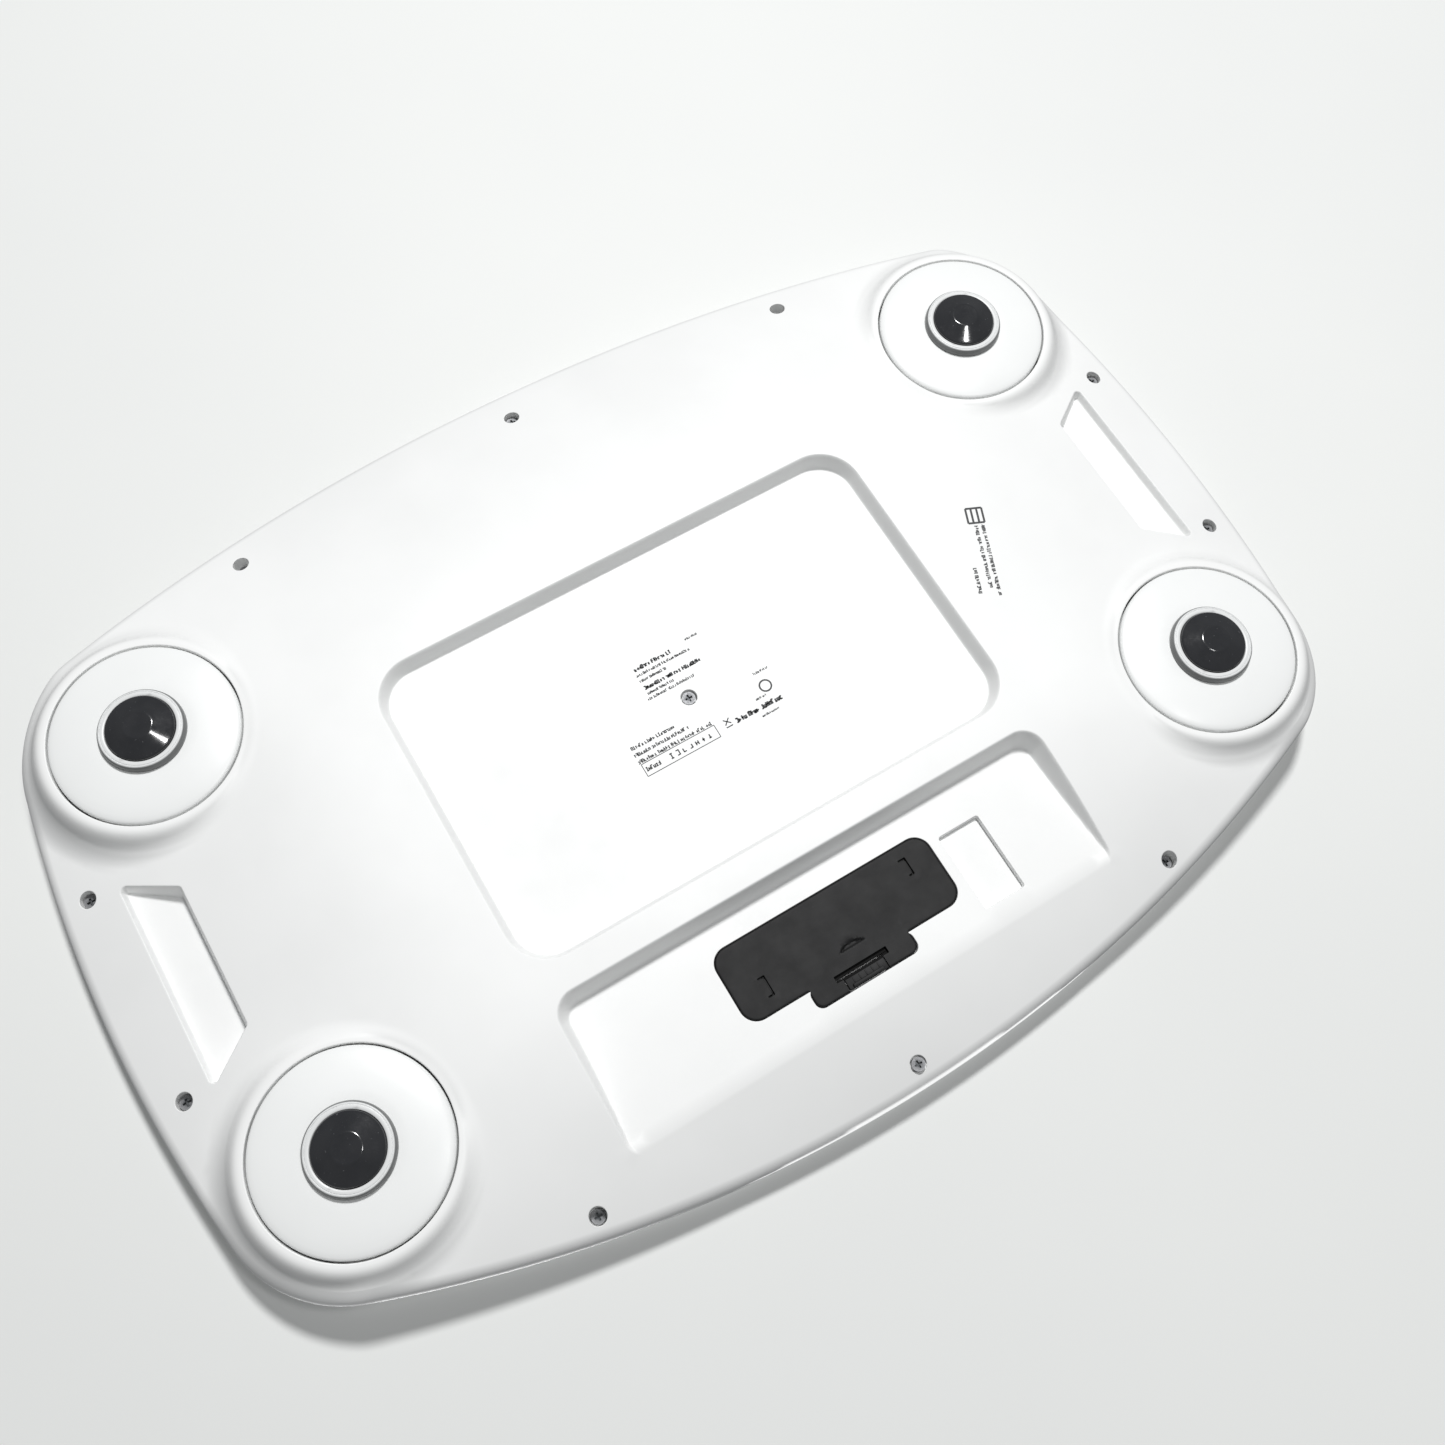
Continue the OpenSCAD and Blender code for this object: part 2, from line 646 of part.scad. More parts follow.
module bundle(points, r) {
    sides = 8;
    route = curve(points, 5);
    last = len(route) - 1;
    rings = [for (i = [0 : last])
        each ring(route[i], unit(route[min(i + 1, last)] - route[max(i - 1, 0)]), r, sides)];
    walls = [for (i = [0 : last - 1], k = [0 : sides - 1])
        let (a = i * sides + k, b = i * sides + (k + 1) % sides)
        [a, a + sides, b + sides, b]];
    caps = [[for (k = [0 : sides - 1]) k],
        [for (k = [0 : sides - 1]) last * sides + sides - 1 - k]];
    polyhedron(rings, concat(walls, caps));
}

module cell_leads(c) color([0.75, 0.2, 0.15]) {
    start = [c[0] * (foot_x - cradle_side / 2 - 2), c[1] * foot_y, cell_z + 4];
    front = [start, [c[0] * 150, 112, 33], [c[0] * 90, 122, 32], [c[0] * 46.2, 124, 33.6]];
    rear = [start, [c[0] * 160, -70, 32], [c[0] * 142, 0, 33], [c[0] * 130, 60, 33],
        [c[0] * 80, 104, 31], [c[0] * 20, 119.3, 33]];
    bundle(c[1] > 0 ? front : rear, 1.5);
}

module battery_leads() color([0.12, 0.12, 0.12])
    bundle([[22, tray_front_y + 1.4, 35], [21, -60, 34], [14, 20, 33], [4, 90, 33],
        [0, 112.6, 34]], 1.2);

platform_cover();
platform_mat();
platform_plate();
base_shell();
rating_print();
display_bezel();
display_window();
lcd_panel();
lcd_holder();
main_board();
board_chips();
board_screws();
key_switches();
power_key();
unit_key();
hold_key();
battery_tray();
battery_cell_1();
battery_cell_2();
battery_cell_3();
battery_cell_4();
contact_springs();
contact_plates();
battery_door();
door_latch();
case_screws();
centre_screw();
cell_screws();
battery_leads();
cell_leads(FRONT_LEFT);  // cell_leads_front_left
cell_leads(FRONT_RIGHT);  // cell_leads_front_right
cell_leads(REAR_LEFT);  // cell_leads_rear_left
cell_leads(REAR_RIGHT);  // cell_leads_rear_right
load_cell(FRONT_LEFT);  // load_cell_front_left
load_cell(FRONT_RIGHT);  // load_cell_front_right
load_cell(REAR_LEFT);  // load_cell_rear_left
load_cell(REAR_RIGHT);  // load_cell_rear_right
cell_cradle(FRONT_LEFT);  // cell_cradle_front_left
cell_cradle(FRONT_RIGHT);  // cell_cradle_front_right
cell_cradle(REAR_LEFT);  // cell_cradle_rear_left
cell_cradle(REAR_RIGHT);  // cell_cradle_rear_right
foot_disc(FRONT_LEFT);  // foot_disc_front_left
foot_disc(FRONT_RIGHT);  // foot_disc_front_right
foot_disc(REAR_LEFT);  // foot_disc_rear_left
foot_disc(REAR_RIGHT);  // foot_disc_rear_right
foot_collar(FRONT_LEFT);  // foot_collar_front_left
foot_collar(FRONT_RIGHT);  // foot_collar_front_right
foot_collar(REAR_LEFT);  // foot_collar_rear_left
foot_collar(REAR_RIGHT);  // foot_collar_rear_right
foot_pad(FRONT_LEFT);  // foot_pad_front_left
foot_pad(FRONT_RIGHT);  // foot_pad_front_right
foot_pad(REAR_LEFT);  // foot_pad_rear_left
foot_pad(REAR_RIGHT);  // foot_pad_rear_right
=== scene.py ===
"""Looks of a wide-platform digital bathroom scale, seen from below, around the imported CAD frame.

Shapes are computed in millimetres in the frame's axes (Z up, feet on z = 0) and stored in metres.
"""
import math
import random

import bpy
import numpy as np
from mathutils import Euler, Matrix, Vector
from mathutils.geometry import delaunay_2d_cdt


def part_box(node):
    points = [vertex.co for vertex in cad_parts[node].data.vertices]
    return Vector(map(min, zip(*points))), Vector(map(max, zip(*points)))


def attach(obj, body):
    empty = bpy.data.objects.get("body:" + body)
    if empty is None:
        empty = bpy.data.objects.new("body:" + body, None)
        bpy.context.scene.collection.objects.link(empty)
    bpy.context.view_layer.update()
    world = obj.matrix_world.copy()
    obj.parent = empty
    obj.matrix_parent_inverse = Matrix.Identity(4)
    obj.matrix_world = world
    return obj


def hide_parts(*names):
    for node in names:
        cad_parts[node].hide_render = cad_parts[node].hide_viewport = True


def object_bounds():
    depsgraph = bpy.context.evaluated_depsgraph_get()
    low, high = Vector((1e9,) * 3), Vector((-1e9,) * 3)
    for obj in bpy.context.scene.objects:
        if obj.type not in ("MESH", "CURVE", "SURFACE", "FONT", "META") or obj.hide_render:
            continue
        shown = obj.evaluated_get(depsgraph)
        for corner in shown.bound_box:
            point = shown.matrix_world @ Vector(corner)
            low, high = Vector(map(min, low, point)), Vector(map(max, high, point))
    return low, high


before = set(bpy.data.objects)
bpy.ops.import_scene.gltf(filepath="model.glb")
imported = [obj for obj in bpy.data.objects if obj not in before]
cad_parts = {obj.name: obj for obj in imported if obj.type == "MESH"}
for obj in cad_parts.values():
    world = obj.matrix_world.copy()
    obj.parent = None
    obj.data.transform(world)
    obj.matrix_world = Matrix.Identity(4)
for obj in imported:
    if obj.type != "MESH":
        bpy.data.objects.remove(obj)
cad_lo, cad_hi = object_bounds()
MM = 0.001


def mm_box(node):
    lo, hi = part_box(node)
    return np.array(lo) / MM, np.array(hi) / MM


def plan_centre(node):
    lo, hi = mm_box(node)
    return tuple((lo + hi)[:2] / 2)


# ---------------- materials

# parts of a noise, a sum of two noises or a pointiness that a ramp spreads
NOISE_SPAN, SUM_SPAN, SPECK_SPAN, EDGE_SPAN = (0.35, 0.65), (0.75, 1.25), (0.70, 0.78), (0.53, 0.62)
SPECK_MM, SPECK_SHARE, WEAR_SHARE = 1.1, 0.6, 0.5
SMEAR_SHARE = 0.3           # size of the smears in the gloss, in clouds
LIT_FACE_BLEND_MM = 0.15
BAND_MM = (36.5, 37.0)      # where a cell's copper band begins, from the middle of the two cells


def node_material(name):
    mat = bpy.data.materials.new(name)
    mat.use_nodes = True
    tree = mat.node_tree
    return mat, tree, tree.nodes["Principled BSDF"]


def set_inputs(node, values):
    for socket, value in values.items():
        node.inputs[socket].default_value = value


def object_coords(tree):
    return tree.nodes.new("ShaderNodeTexCoord").outputs["Object"]


def noise(tree, vector, scale, detail=3.0, roughness=0.5):
    n = tree.nodes.new("ShaderNodeTexNoise")
    set_inputs(n, {"Scale": scale, "Detail": detail, "Roughness": roughness})
    tree.links.new(vector, n.inputs["Vector"])
    return n.outputs["Fac"]


def ramp(tree, fac, lo, hi, lo_at=NOISE_SPAN[0], hi_at=NOISE_SPAN[1]):
    """Spreads a value's stretch from lo_at to hi_at over lo to hi."""
    n = tree.nodes.new("ShaderNodeMapRange")
    set_inputs(n, {"From Min": lo_at, "From Max": hi_at, "To Min": lo, "To Max": hi})
    tree.links.new(fac, n.inputs["Value"])
    return n.outputs["Result"]


def mixed(tree, fac, a, b):
    n = tree.nodes.new("ShaderNodeMix")
    n.data_type = "RGBA"
    tree.links.new(fac, n.inputs["Factor"])
    for socket, value in ((n.inputs[6], a), (n.inputs[7], b)):
        if isinstance(value, bpy.types.NodeSocket):
            tree.links.new(value, socket)
        else:
            socket.default_value = (*value, 1)
    return n.outputs[2]


def moulded(name, colour, shade, rough, grain_mm=0.35, depth_mm=0.012, strength=0.35, metallic=0.0,
            ior=1.5, coat=0.0, wear=None, cloud_mm=60, specks=None, face=None):
    """A moulded or metal surface: clouds from colour to shade, fine grain in its bump and
    roughness, and where they are given the colours of worn edges and of specks, and a face: the
    height in mm below which the surface has another colour, and that colour, painted light on a
    lit face above sides that keep the darker colour as painted shade."""
    mat, tree, shader = node_material(name)
    coord = object_coords(tree)
    tone = ramp(tree, noise(tree, coord, 1 / (cloud_mm * MM), 4.0), 0, 1)
    out = mixed(tree, tone, colour, shade)
    # painted light and shade: below the given height the lit face's colour, above it the darker
    # colour of sides in shade
    if face:
        lit_face_z, lit_face_colour = face
        height = tree.nodes.new("ShaderNodeSeparateXYZ")
        tree.links.new(coord, height.inputs[0])
        below = ramp(tree, height.outputs["Z"], 1, 0, (lit_face_z - LIT_FACE_BLEND_MM) * MM,
                     (lit_face_z + LIT_FACE_BLEND_MM) * MM)
        out = mixed(tree, below, out, lit_face_colour)
    if specks:
        dust = noise(tree, coord, 1 / (SPECK_MM * MM), 2.0)
        dust = ramp(tree, dust, 0, SPECK_SHARE, *SPECK_SPAN)
        out = mixed(tree, dust, out, specks)
    if wear:
        geometry_node = tree.nodes.new("ShaderNodeNewGeometry")
        edge = ramp(tree, geometry_node.outputs["Pointiness"], 0, WEAR_SHARE, *EDGE_SPAN)
        out = mixed(tree, edge, out, wear)
    tree.links.new(out, shader.inputs["Base Color"])
    fine = noise(tree, coord, 1 / (grain_mm * MM), 2.0)
    smear = noise(tree, coord, 1 / (cloud_mm * SMEAR_SHARE * MM), 5.0, 0.6)
    both = tree.nodes.new("ShaderNodeMath")
    both.operation = "ADD"
    tree.links.new(fine, both.inputs[0])
    tree.links.new(smear, both.inputs[1])
    gloss = ramp(tree, both.outputs[0], *rough, *SUM_SPAN)
    tree.links.new(gloss, shader.inputs["Roughness"])
    bump = tree.nodes.new("ShaderNodeBump")
    set_inputs(bump, {"Strength": strength, "Distance": depth_mm * MM})
    tree.links.new(fine, bump.inputs["Height"])
    tree.links.new(bump.outputs["Normal"], shader.inputs["Normal"])
    set_inputs(shader, {"Metallic": metallic, "IOR": ior, "Coat Weight": coat})
    return mat


WHITE = moulded("white_plastic", (0.90, 0.905, 0.90), (0.87, 0.875, 0.87), (0.40, 0.52),
                wear=(0.93, 0.93, 0.925))
COVER_WHITE = moulded("cover_plastic", (0.86, 0.865, 0.86), (0.83, 0.835, 0.83), (0.22, 0.34),
                      depth_mm=0.006, wear=(0.9, 0.9, 0.9))
DISC_WHITE = moulded("disc_plastic", (0.90, 0.91, 0.905), (0.875, 0.885, 0.88), (0.30, 0.40),
                     grain_mm=0.25, depth_mm=0.006, wear=(0.93, 0.93, 0.925))
INNER = moulded("inner_plastic", (0.74, 0.74, 0.72), (0.69, 0.69, 0.67), (0.45, 0.6))
CHARCOAL = moulded("charcoal_plastic", (0.0085, 0.0085, 0.009), (0.0065, 0.0065, 0.007),
                   (0.56, 0.66), grain_mm=0.3, strength=0.4, ior=1.38, wear=(0.02, 0.02, 0.021),
                   cloud_mm=30)
# near-black painted shade: stands for the shadowed pocket seen through the latch slot, not a part's
# own colour
SLOT_PAINTED_SHADE = moulded("slot_painted_shade", (0.003, 0.003, 0.003), (0.002, 0.002, 0.002), (0.7, 0.85),
                     ior=1.3)
PAD_BLACK = moulded("pad_black", (0.024, 0.025, 0.028), (0.018, 0.019, 0.022), (0.11, 0.19),
                    grain_mm=0.5, depth_mm=0.006, strength=0.3, ior=1.55, coat=0.3,
                    wear=(0.07, 0.07, 0.075), cloud_mm=9, specks=(0.16, 0.16, 0.17))
# collar: the pale grey of its face below 4.8 mm is painted light, the dark grey of its sides
# painted shade
COLLAR = moulded("collar_grey", (0.20, 0.205, 0.205), (0.16, 0.165, 0.165), (0.3, 0.42),
                 cloud_mm=12, wear=(0.4, 0.4, 0.4), face=(4.8, (0.76, 0.77, 0.77)))
ZINC = moulded("zinc_screw", (0.13, 0.135, 0.14), (0.08, 0.085, 0.09), (0.5, 0.64), grain_mm=0.5,
               depth_mm=0.03, metallic=1.0, cloud_mm=2.5, wear=(0.40, 0.40, 0.41))
STEEL = moulded("plated_steel", (0.52, 0.53, 0.54), (0.44, 0.45, 0.46), (0.3, 0.5), grain_mm=0.8,
                depth_mm=0.02, metallic=1.0, cloud_mm=25)
NICKEL = moulded("contact_nickel", (0.60, 0.58, 0.54), (0.5, 0.49, 0.46), (0.2, 0.34),
                 metallic=1.0, cloud_mm=8)
INK = moulded("print_ink", (0.03, 0.031, 0.034), (0.055, 0.057, 0.06), (0.5, 0.65), grain_mm=0.2,
              cloud_mm=1.2)
MAT_GREY = moulded("mat_rubber", (0.30, 0.31, 0.32), (0.27, 0.28, 0.29), (0.6, 0.78), grain_mm=0.9,
                   depth_mm=0.12, strength=0.8, cloud_mm=90, wear=(0.38, 0.39, 0.4))
KEY_GREY = moulded("key_grey", (0.40, 0.41, 0.42), (0.36, 0.37, 0.38), (0.32, 0.45), cloud_mm=10,
                   wear=(0.5, 0.5, 0.51))
BOARD = moulded("board_green", (0.02, 0.12, 0.05), (0.016, 0.09, 0.04), (0.3, 0.45), cloud_mm=14)
CHIP = moulded("chip_black", (0.02, 0.02, 0.022), (0.014, 0.014, 0.015), (0.35, 0.5), cloud_mm=5)
LEAD_RED = moulded("lead_pvc", (0.45, 0.03, 0.02), (0.36, 0.02, 0.015), (0.35, 0.5), cloud_mm=9)
LEAD_BLACK = moulded("lead_pvc_black", (0.02, 0.02, 0.02), (0.015, 0.015, 0.015), (0.35, 0.5),
                     cloud_mm=9)
LCD = moulded("lcd_glass", (0.30, 0.335, 0.29), (0.28, 0.315, 0.275), (0.12, 0.2), cloud_mm=40,
              coat=0.4)


def cell_jacket():
    """Foil-wrapped battery jacket: copper-coloured band at its outer end, dark wrap elsewhere."""
    mat, tree, shader = node_material("cell_jacket")
    coord = object_coords(tree)
    parts = tree.nodes.new("ShaderNodeSeparateXYZ")
    tree.links.new(coord, parts.inputs[0])
    from_middle = tree.nodes.new("ShaderNodeMath")
    from_middle.operation = "ABSOLUTE"
    tree.links.new(parts.outputs["X"], from_middle.inputs[0])
    band = ramp(tree, from_middle.outputs[0], 0, 1, BAND_MM[0] * MM, BAND_MM[1] * MM)
    tone = ramp(tree, noise(tree, coord, scale=90), 0, 1)
    dark = mixed(tree, tone, (0.02, 0.02, 0.022), (0.03, 0.03, 0.034))
    copper = mixed(tree, tone, (0.52, 0.26, 0.11), (0.44, 0.21, 0.09))
    tree.links.new(mixed(tree, band, dark, copper), shader.inputs["Base Color"])
    gloss = ramp(tree, noise(tree, coord, scale=700), 0.22, 0.34)
    tree.links.new(gloss, shader.inputs["Roughness"])
    shader.inputs["Metallic"].default_value = 0.6
    return mat


def window_glass():
    """Clear display window, faintly clouded."""
    mat, tree, shader = node_material("display_glass")
    coord = object_coords(tree)
    tone = ramp(tree, noise(tree, coord, scale=40), 0, 1)
    tint = mixed(tree, tone, (0.80, 0.84, 0.83), (0.76, 0.81, 0.80))
    tree.links.new(tint, shader.inputs["Base Color"])
    gloss = ramp(tree, noise(tree, coord, scale=300), 0.02, 0.08)
    tree.links.new(gloss, shader.inputs["Roughness"])
    set_inputs(shader, {"Transmission Weight": 0.92, "IOR": 1.49})
    return mat


JACKET = cell_jacket()
GLASS = window_glass()


# ---------------- plan outlines

def smin(a, b, k):
    """Smooth minimum; k is the width of the blend."""
    h = np.clip(0.5 + 0.5 * (b - a) / k, 0, 1)
    return b + (a - b) * h - k * h * (1 - h)


def smax(a, b, k):
    return -smin(-a, -b, k)


def arc_points(centre, radius, start, end, step):
    """Points of an arc from start to end, without its last point."""
    n = max(2, int(math.ceil(abs(end - start) * max(radius, 0.01) / step)))
    a = start + (end - start) * np.arange(n) / n
    return np.stack([centre[0] + radius * np.cos(a), centre[1] + radius * np.sin(a)], 1)


class Polygon:
    """A convex outline, counter-clockwise, with rounded corners."""

    def __init__(self, corners, radius):
        self.corners, self.radius = np.array(corners, float), radius

    def inner(self, by):
        """Corners moved inwards by a distance."""
        c = self.corners
        a, b = c - np.roll(c, 1, 0), np.roll(c, -1, 0) - c
        a /= np.linalg.norm(a, axis=1)[:, None]
        b /= np.linalg.norm(b, axis=1)[:, None]
        na, nb = np.stack([a[:, 1], -a[:, 0]], 1), np.stack([b[:, 1], -b[:, 0]], 1)
        bisector = na + nb
        return c - bisector * (by / (bisector * na).sum(1))[:, None]

    def ring(self, s, step):
        """Closed ring of points at distance s outside the outline (negative: inside it)."""
        by = max(self.radius, -s)
        corners, radius = self.inner(by), by + s
        out, n = [], len(corners)
        for i in range(n):
            p, q, r = corners[i - 1], corners[i], corners[(i + 1) % n]
            start = math.atan2(-(q - p)[0], (q - p)[1])
            end = math.atan2(-(r - q)[0], (r - q)[1])
            while end < start:
                end += 2 * math.pi
            if radius > 0.02:
                fine = min(step, max(self.radius * 0.2, 0.3))
                out.append(arc_points(q, radius, start, end, fine))
            last = np.array([q[0] + radius * math.cos(end), q[1] + radius * math.sin(end)])
            following = np.array([r[0] + radius * math.cos(end), r[1] + radius * math.sin(end)])
            k = max(1, int(np.linalg.norm(following - last) / step))
            out.append(last + (following - last) * (np.arange(k) / k)[:, None])
        return np.concatenate(out)

    def distance(self, x, y):
        """Distance outside the outline, below zero inside it."""
        c = self.inner(self.radius)
        p = np.stack([x, y], -1)
        inside = np.full(x.shape, -1e9)
        outside = np.full(x.shape, 1e9)
        for i in range(len(c)):
            a, b = c[i], c[(i + 1) % len(c)]
            along = (b - a) / np.linalg.norm(b - a)
            normal = np.array([along[1], -along[0]])
            rel = p - a
            inside = np.maximum(inside, rel @ normal)
            t = np.clip(rel @ along, 0, np.linalg.norm(b - a))
            outside = np.minimum(outside, np.linalg.norm(rel - t[..., None] * along, axis=-1))
        return np.where(inside < 0, inside, outside) - self.radius


def rectangle(cx, cy, length, width, radius):
    u, v = length / 2, width / 2
    return Polygon([(cx - u, cy - v), (cx + u, cy - v), (cx + u, cy + v), (cx - u, cy + v)], radius)


class Circle:
    def __init__(self, cx, cy, radius):
        self.c, self.radius = (cx, cy), radius

    def ring(self, s, step):
        return arc_points(self.c, self.radius + s, 0, 2 * math.pi, step)

    def distance(self, x, y):
        return np.hypot(x - self.c[0], y - self.c[1]) - self.radius


class Bowed:
    """The case's plan: two long bows and two end bows, joined by corner arcs."""

    def __init__(self, front, rear, half, front_r, rear_r, end_r, corner):
        self.r = corner
        self.bows = [((0, front - front_r), front_r), ((half - end_r, 0), end_r),
                     ((0, rear_r - rear), rear_r), ((end_r - half, 0), end_r)]
        self.vertices = {1: self._vertex(0, 1), -1: self._vertex(2, -1)}

    def _vertex(self, long_bow, side):
        """Where a long bow meets the right-hand end bow, both moved in by the corner's radius."""
        (c0, r0), (c1, r1) = self.bows[long_bow], self.bows[1]
        r0, r1 = r0 - self.r, r1 - self.r
        c0, c1 = np.array(c0), np.array(c1)
        d = c1 - c0
        length = np.linalg.norm(d)
        a = (r0 ** 2 - r1 ** 2 + length ** 2) / (2 * length)
        h = math.sqrt(r0 ** 2 - a ** 2)
        mid, across = c0 + d * a / length, np.array([-d[1], d[0]]) / length
        options = [mid + across * h, mid - across * h]
        return max(options, key=lambda p: p[1] * side + p[0] * 0.5)

    def distance(self, x, y):
        out = np.full(x.shape, -1e9)
        for c, r in self.bows:
            out = np.maximum(out, np.hypot(x - c[0], y - c[1]) - r)
        for side, long_bow in ((1, 0), (-1, 2)):
            v = self.vertices[side]
            long_n = v - np.array(self.bows[long_bow][0])
            end_n = v - np.array(self.bows[1][0])
            px, py = np.abs(x) - v[0], (y - v[1]) * side
            ln, en = (long_n[0], long_n[1] * side), (end_n[0], end_n[1] * side)
            wedge = (en[0] * py - en[1] * px >= 0) & (px * ln[1] - py * ln[0] >= 0)
            out = np.where(wedge, np.hypot(px, py) - self.r, out)
        return out

    def ring(self, s, step):
        """Counter-clockwise ring from the right-hand end."""
        up, down = self.vertices[1], self.vertices[-1]
        (fc, fr), (ec, er), (rc, rr), _ = self.bows
        right_up, right_down = [math.atan2(v[1] - ec[1], v[0] - ec[0]) for v in (up, down)]
        front = math.atan2(up[1] - fc[1], up[0] - fc[0])
        rear = math.atan2(down[1] - rc[1], down[0] - rc[0])
        fine = step * 0.5

        def mirror(p):
            return -p[0], p[1]

        return np.concatenate([
            arc_points(ec, er + s, right_down, right_up, step),
            arc_points(up, self.r + s, right_up, front, fine),
            arc_points(fc, fr + s, front, math.pi - front, step),
            arc_points(mirror(up), self.r + s, math.pi - front, math.pi - right_up, fine),
            arc_points(mirror(ec), er + s, math.pi - right_up, math.pi - right_down, step),
            arc_points(mirror(down), self.r + s, math.pi - right_down, math.pi - rear, fine),
            arc_points(rc, rr + s, -math.pi - rear, rear, step),
            arc_points(down, self.r + s, rear, right_down, fine)])


# ---------------- mesh building

BOX_FACES = ((3, 2, 1, 0), (4, 5, 6, 7), (0, 1, 5, 4), (1, 2, 6, 5), (2, 3, 7, 6), (3, 0, 4, 7))
GRID_X, GRID_Y = 300, 215   # half the length and width of the grid that fills a plan
ROW_PITCH = 0.87            # distance between its rows, in spacings
GRID_MARGIN = 2.0           # how far it stays inside the outline
MERGE_DISTANCE = 1e-5
MIN_THICKNESS = 0.02
SLOPE_STEP = 0.02
MAX_CUT = 0.45              # most of a profile's side that a fillet may take
BOX_SMOOTH, JOINED_SMOOTH = 50, 38


def new_object(name, verts, faces, material, smooth=None):
    """Object from millimetre points; edges under smooth degrees shade smooth."""
    me = bpy.data.meshes.new(name)
    me.from_pydata([tuple(float(c) * MM for c in v) for v in verts], [], [tuple(f) for f in faces])
    me.validate()
    me.materials.append(material)
    o = bpy.data.objects.new(name, me)
    bpy.context.scene.collection.objects.link(o)
    if smooth is not None:
        me.shade_smooth()
        me.set_sharp_from_angle(angle=math.radians(smooth))
    return o


def rings_of(outline, offsets, step=2.0):
    return [outline.ring(s, step) for s in offsets]


def flat_grid(rings, outline, spacing, extra=(), clear=0.55):
    """Delaunay triangles over closed rings, with a grid of points between them. A grid point that
    is nearer to a ring's point than clear spacings is left out."""
    points, edges = [], []
    for ring in rings:
        base = len(points)
        points += [tuple(p) for p in ring]
        edges += [(base + i, base + (i + 1) % len(ring)) for i in range(len(ring))]
    fixed = np.array(points)
    grid = [(x + (spacing / 2 if row % 2 else 0), y)
            for row, y in enumerate(np.arange(-GRID_Y, GRID_Y, spacing * ROW_PITCH))
            for x in np.arange(-GRID_X, GRID_X, spacing)]
    cloud = np.array(list(extra) + grid)
    cloud = cloud[outline.distance(cloud[:, 0], cloud[:, 1]) < -GRID_MARGIN]
    cells = {}
    for i, (x, y) in enumerate(fixed):
        cells.setdefault((int(x // spacing), int(y // spacing)), []).append(i)
    for x, y in cloud:
        gx, gy = int(x // spacing), int(y // spacing)
        near = [i for a in (-1, 0, 1) for b in (-1, 0, 1) for i in cells.get((gx + a, gy + b), ())]
        if near:
            d = fixed[near] - (x, y)
            if (d * d).sum(1).min() < (clear * spacing) ** 2:
                continue
        points.append((x, y))
    out = delaunay_2d_cdt([Vector(p) for p in points], edges, [], 0, MERGE_DISTANCE)
    return np.array([tuple(v) for v in out[0]]), np.array(out[2])


def level(z):
    """A flat height field."""
    return lambda x, y: np.full(x.shape, z)


def rounding(inset, radius):
    """How far a surface has fallen at a distance inside its outline, for a quarter-round edge."""
    edge = np.clip(radius - inset, 0, radius)
    return radius - np.sqrt(np.maximum(radius ** 2 - edge ** 2, 0))


def unit_normals(height, x, y):
    """Upward normals of a height field, from its slopes."""
    e = SLOPE_STEP
    gx = (height(x + e, y) - height(x - e, y)) / (2 * e)
    gy = (height(x, y + e) - height(x, y - e)) / (2 * e)
    v = np.stack([-gx, -gy, np.ones(len(gx))], 1)
    return v / np.linalg.norm(v, axis=1)[:, None]


def slab(name, plan, material, lower, upper, keep, smooth_upper=True):
    """Solid between two height fields over one triangulation. Its skins get normals from their own
    slopes, so that fillets and flats shade as one continuous surface."""
    xy, tris = plan
    mid = xy[tris].mean(1)
    tris = tris[keep(mid[:, 0], mid[:, 1])]
    used, tris = np.unique(tris, return_inverse=True)
    xy, tris = xy[used], tris.reshape(-1, 3)
    ab, ac = (xy[tris[:, i]] - xy[tris[:, 0]] for i in (1, 2))
    ccw = ab[:, 0] * ac[:, 1] - ab[:, 1] * ac[:, 0] > 0
    tris = np.where(ccw[:, None], tris, tris[:, ::-1])
    n = len(xy)
    x, y = xy[:, 0], xy[:, 1]
    low = lower(x, y)
    high = np.maximum(upper(x, y), low + MIN_THICKNESS)
    directed = dict.fromkeys((t[i], t[(i + 1) % 3]) for t in tris for i in range(3))
    border = [(i, j) for i, j in directed if (j, i) not in directed]
    verts = np.concatenate([np.c_[xy, low], np.c_[xy, high]])
    faces = [tuple(t[::-1]) for t in tris] + [tuple(t + n) for t in tris]
    faces += [(i, j, j + n, i + n) for i, j in border]
    o = new_object(name, verts, faces, material)
    me = o.data
    me.shade_smooth()
    down, up = -unit_normals(lower, x, y), unit_normals(upper, x, y)
    normals = []
    for poly in me.polygons:
        for v in poly.vertices:
            if len(poly.vertices) == 4 or (v >= n and not smooth_upper):
                normals.append(tuple(poly.normal))
            else:
                normals.append(tuple(down[v] if v < n else up[v - n]))
    me.normals_split_custom_set(normals)
    return o


def lathe(name, profile, material, centre, sides, smooth=32):
    """Solid of revolution about a vertical axis. The profile is open where it meets the axis."""
    verts, faces, rows = [], [], []
    for r, z in profile:
        if r == 0:
            rows.append([len(verts)])
            verts.append((centre[0], centre[1], z))
        else:
            rows.append(list(range(len(verts), len(verts) + sides)))
            verts += [(centre[0] + r * math.cos(2 * math.pi * i / sides),
                       centre[1] + r * math.sin(2 * math.pi * i / sides), z) for i in range(sides)]
    for a, b in zip(rows, rows[1:]):
        for i in range(sides):
            j = (i + 1) % sides
            if len(a) == 1 and len(b) > 1:
                faces.append((a[0], b[j], b[i]))
            elif len(b) == 1 and len(a) > 1:
                faces.append((a[i], a[j], b[0]))
            elif len(a) > 1:
                faces.append((a[i], a[j], b[j], b[i]))
    return new_object(name, verts, faces, material, smooth)


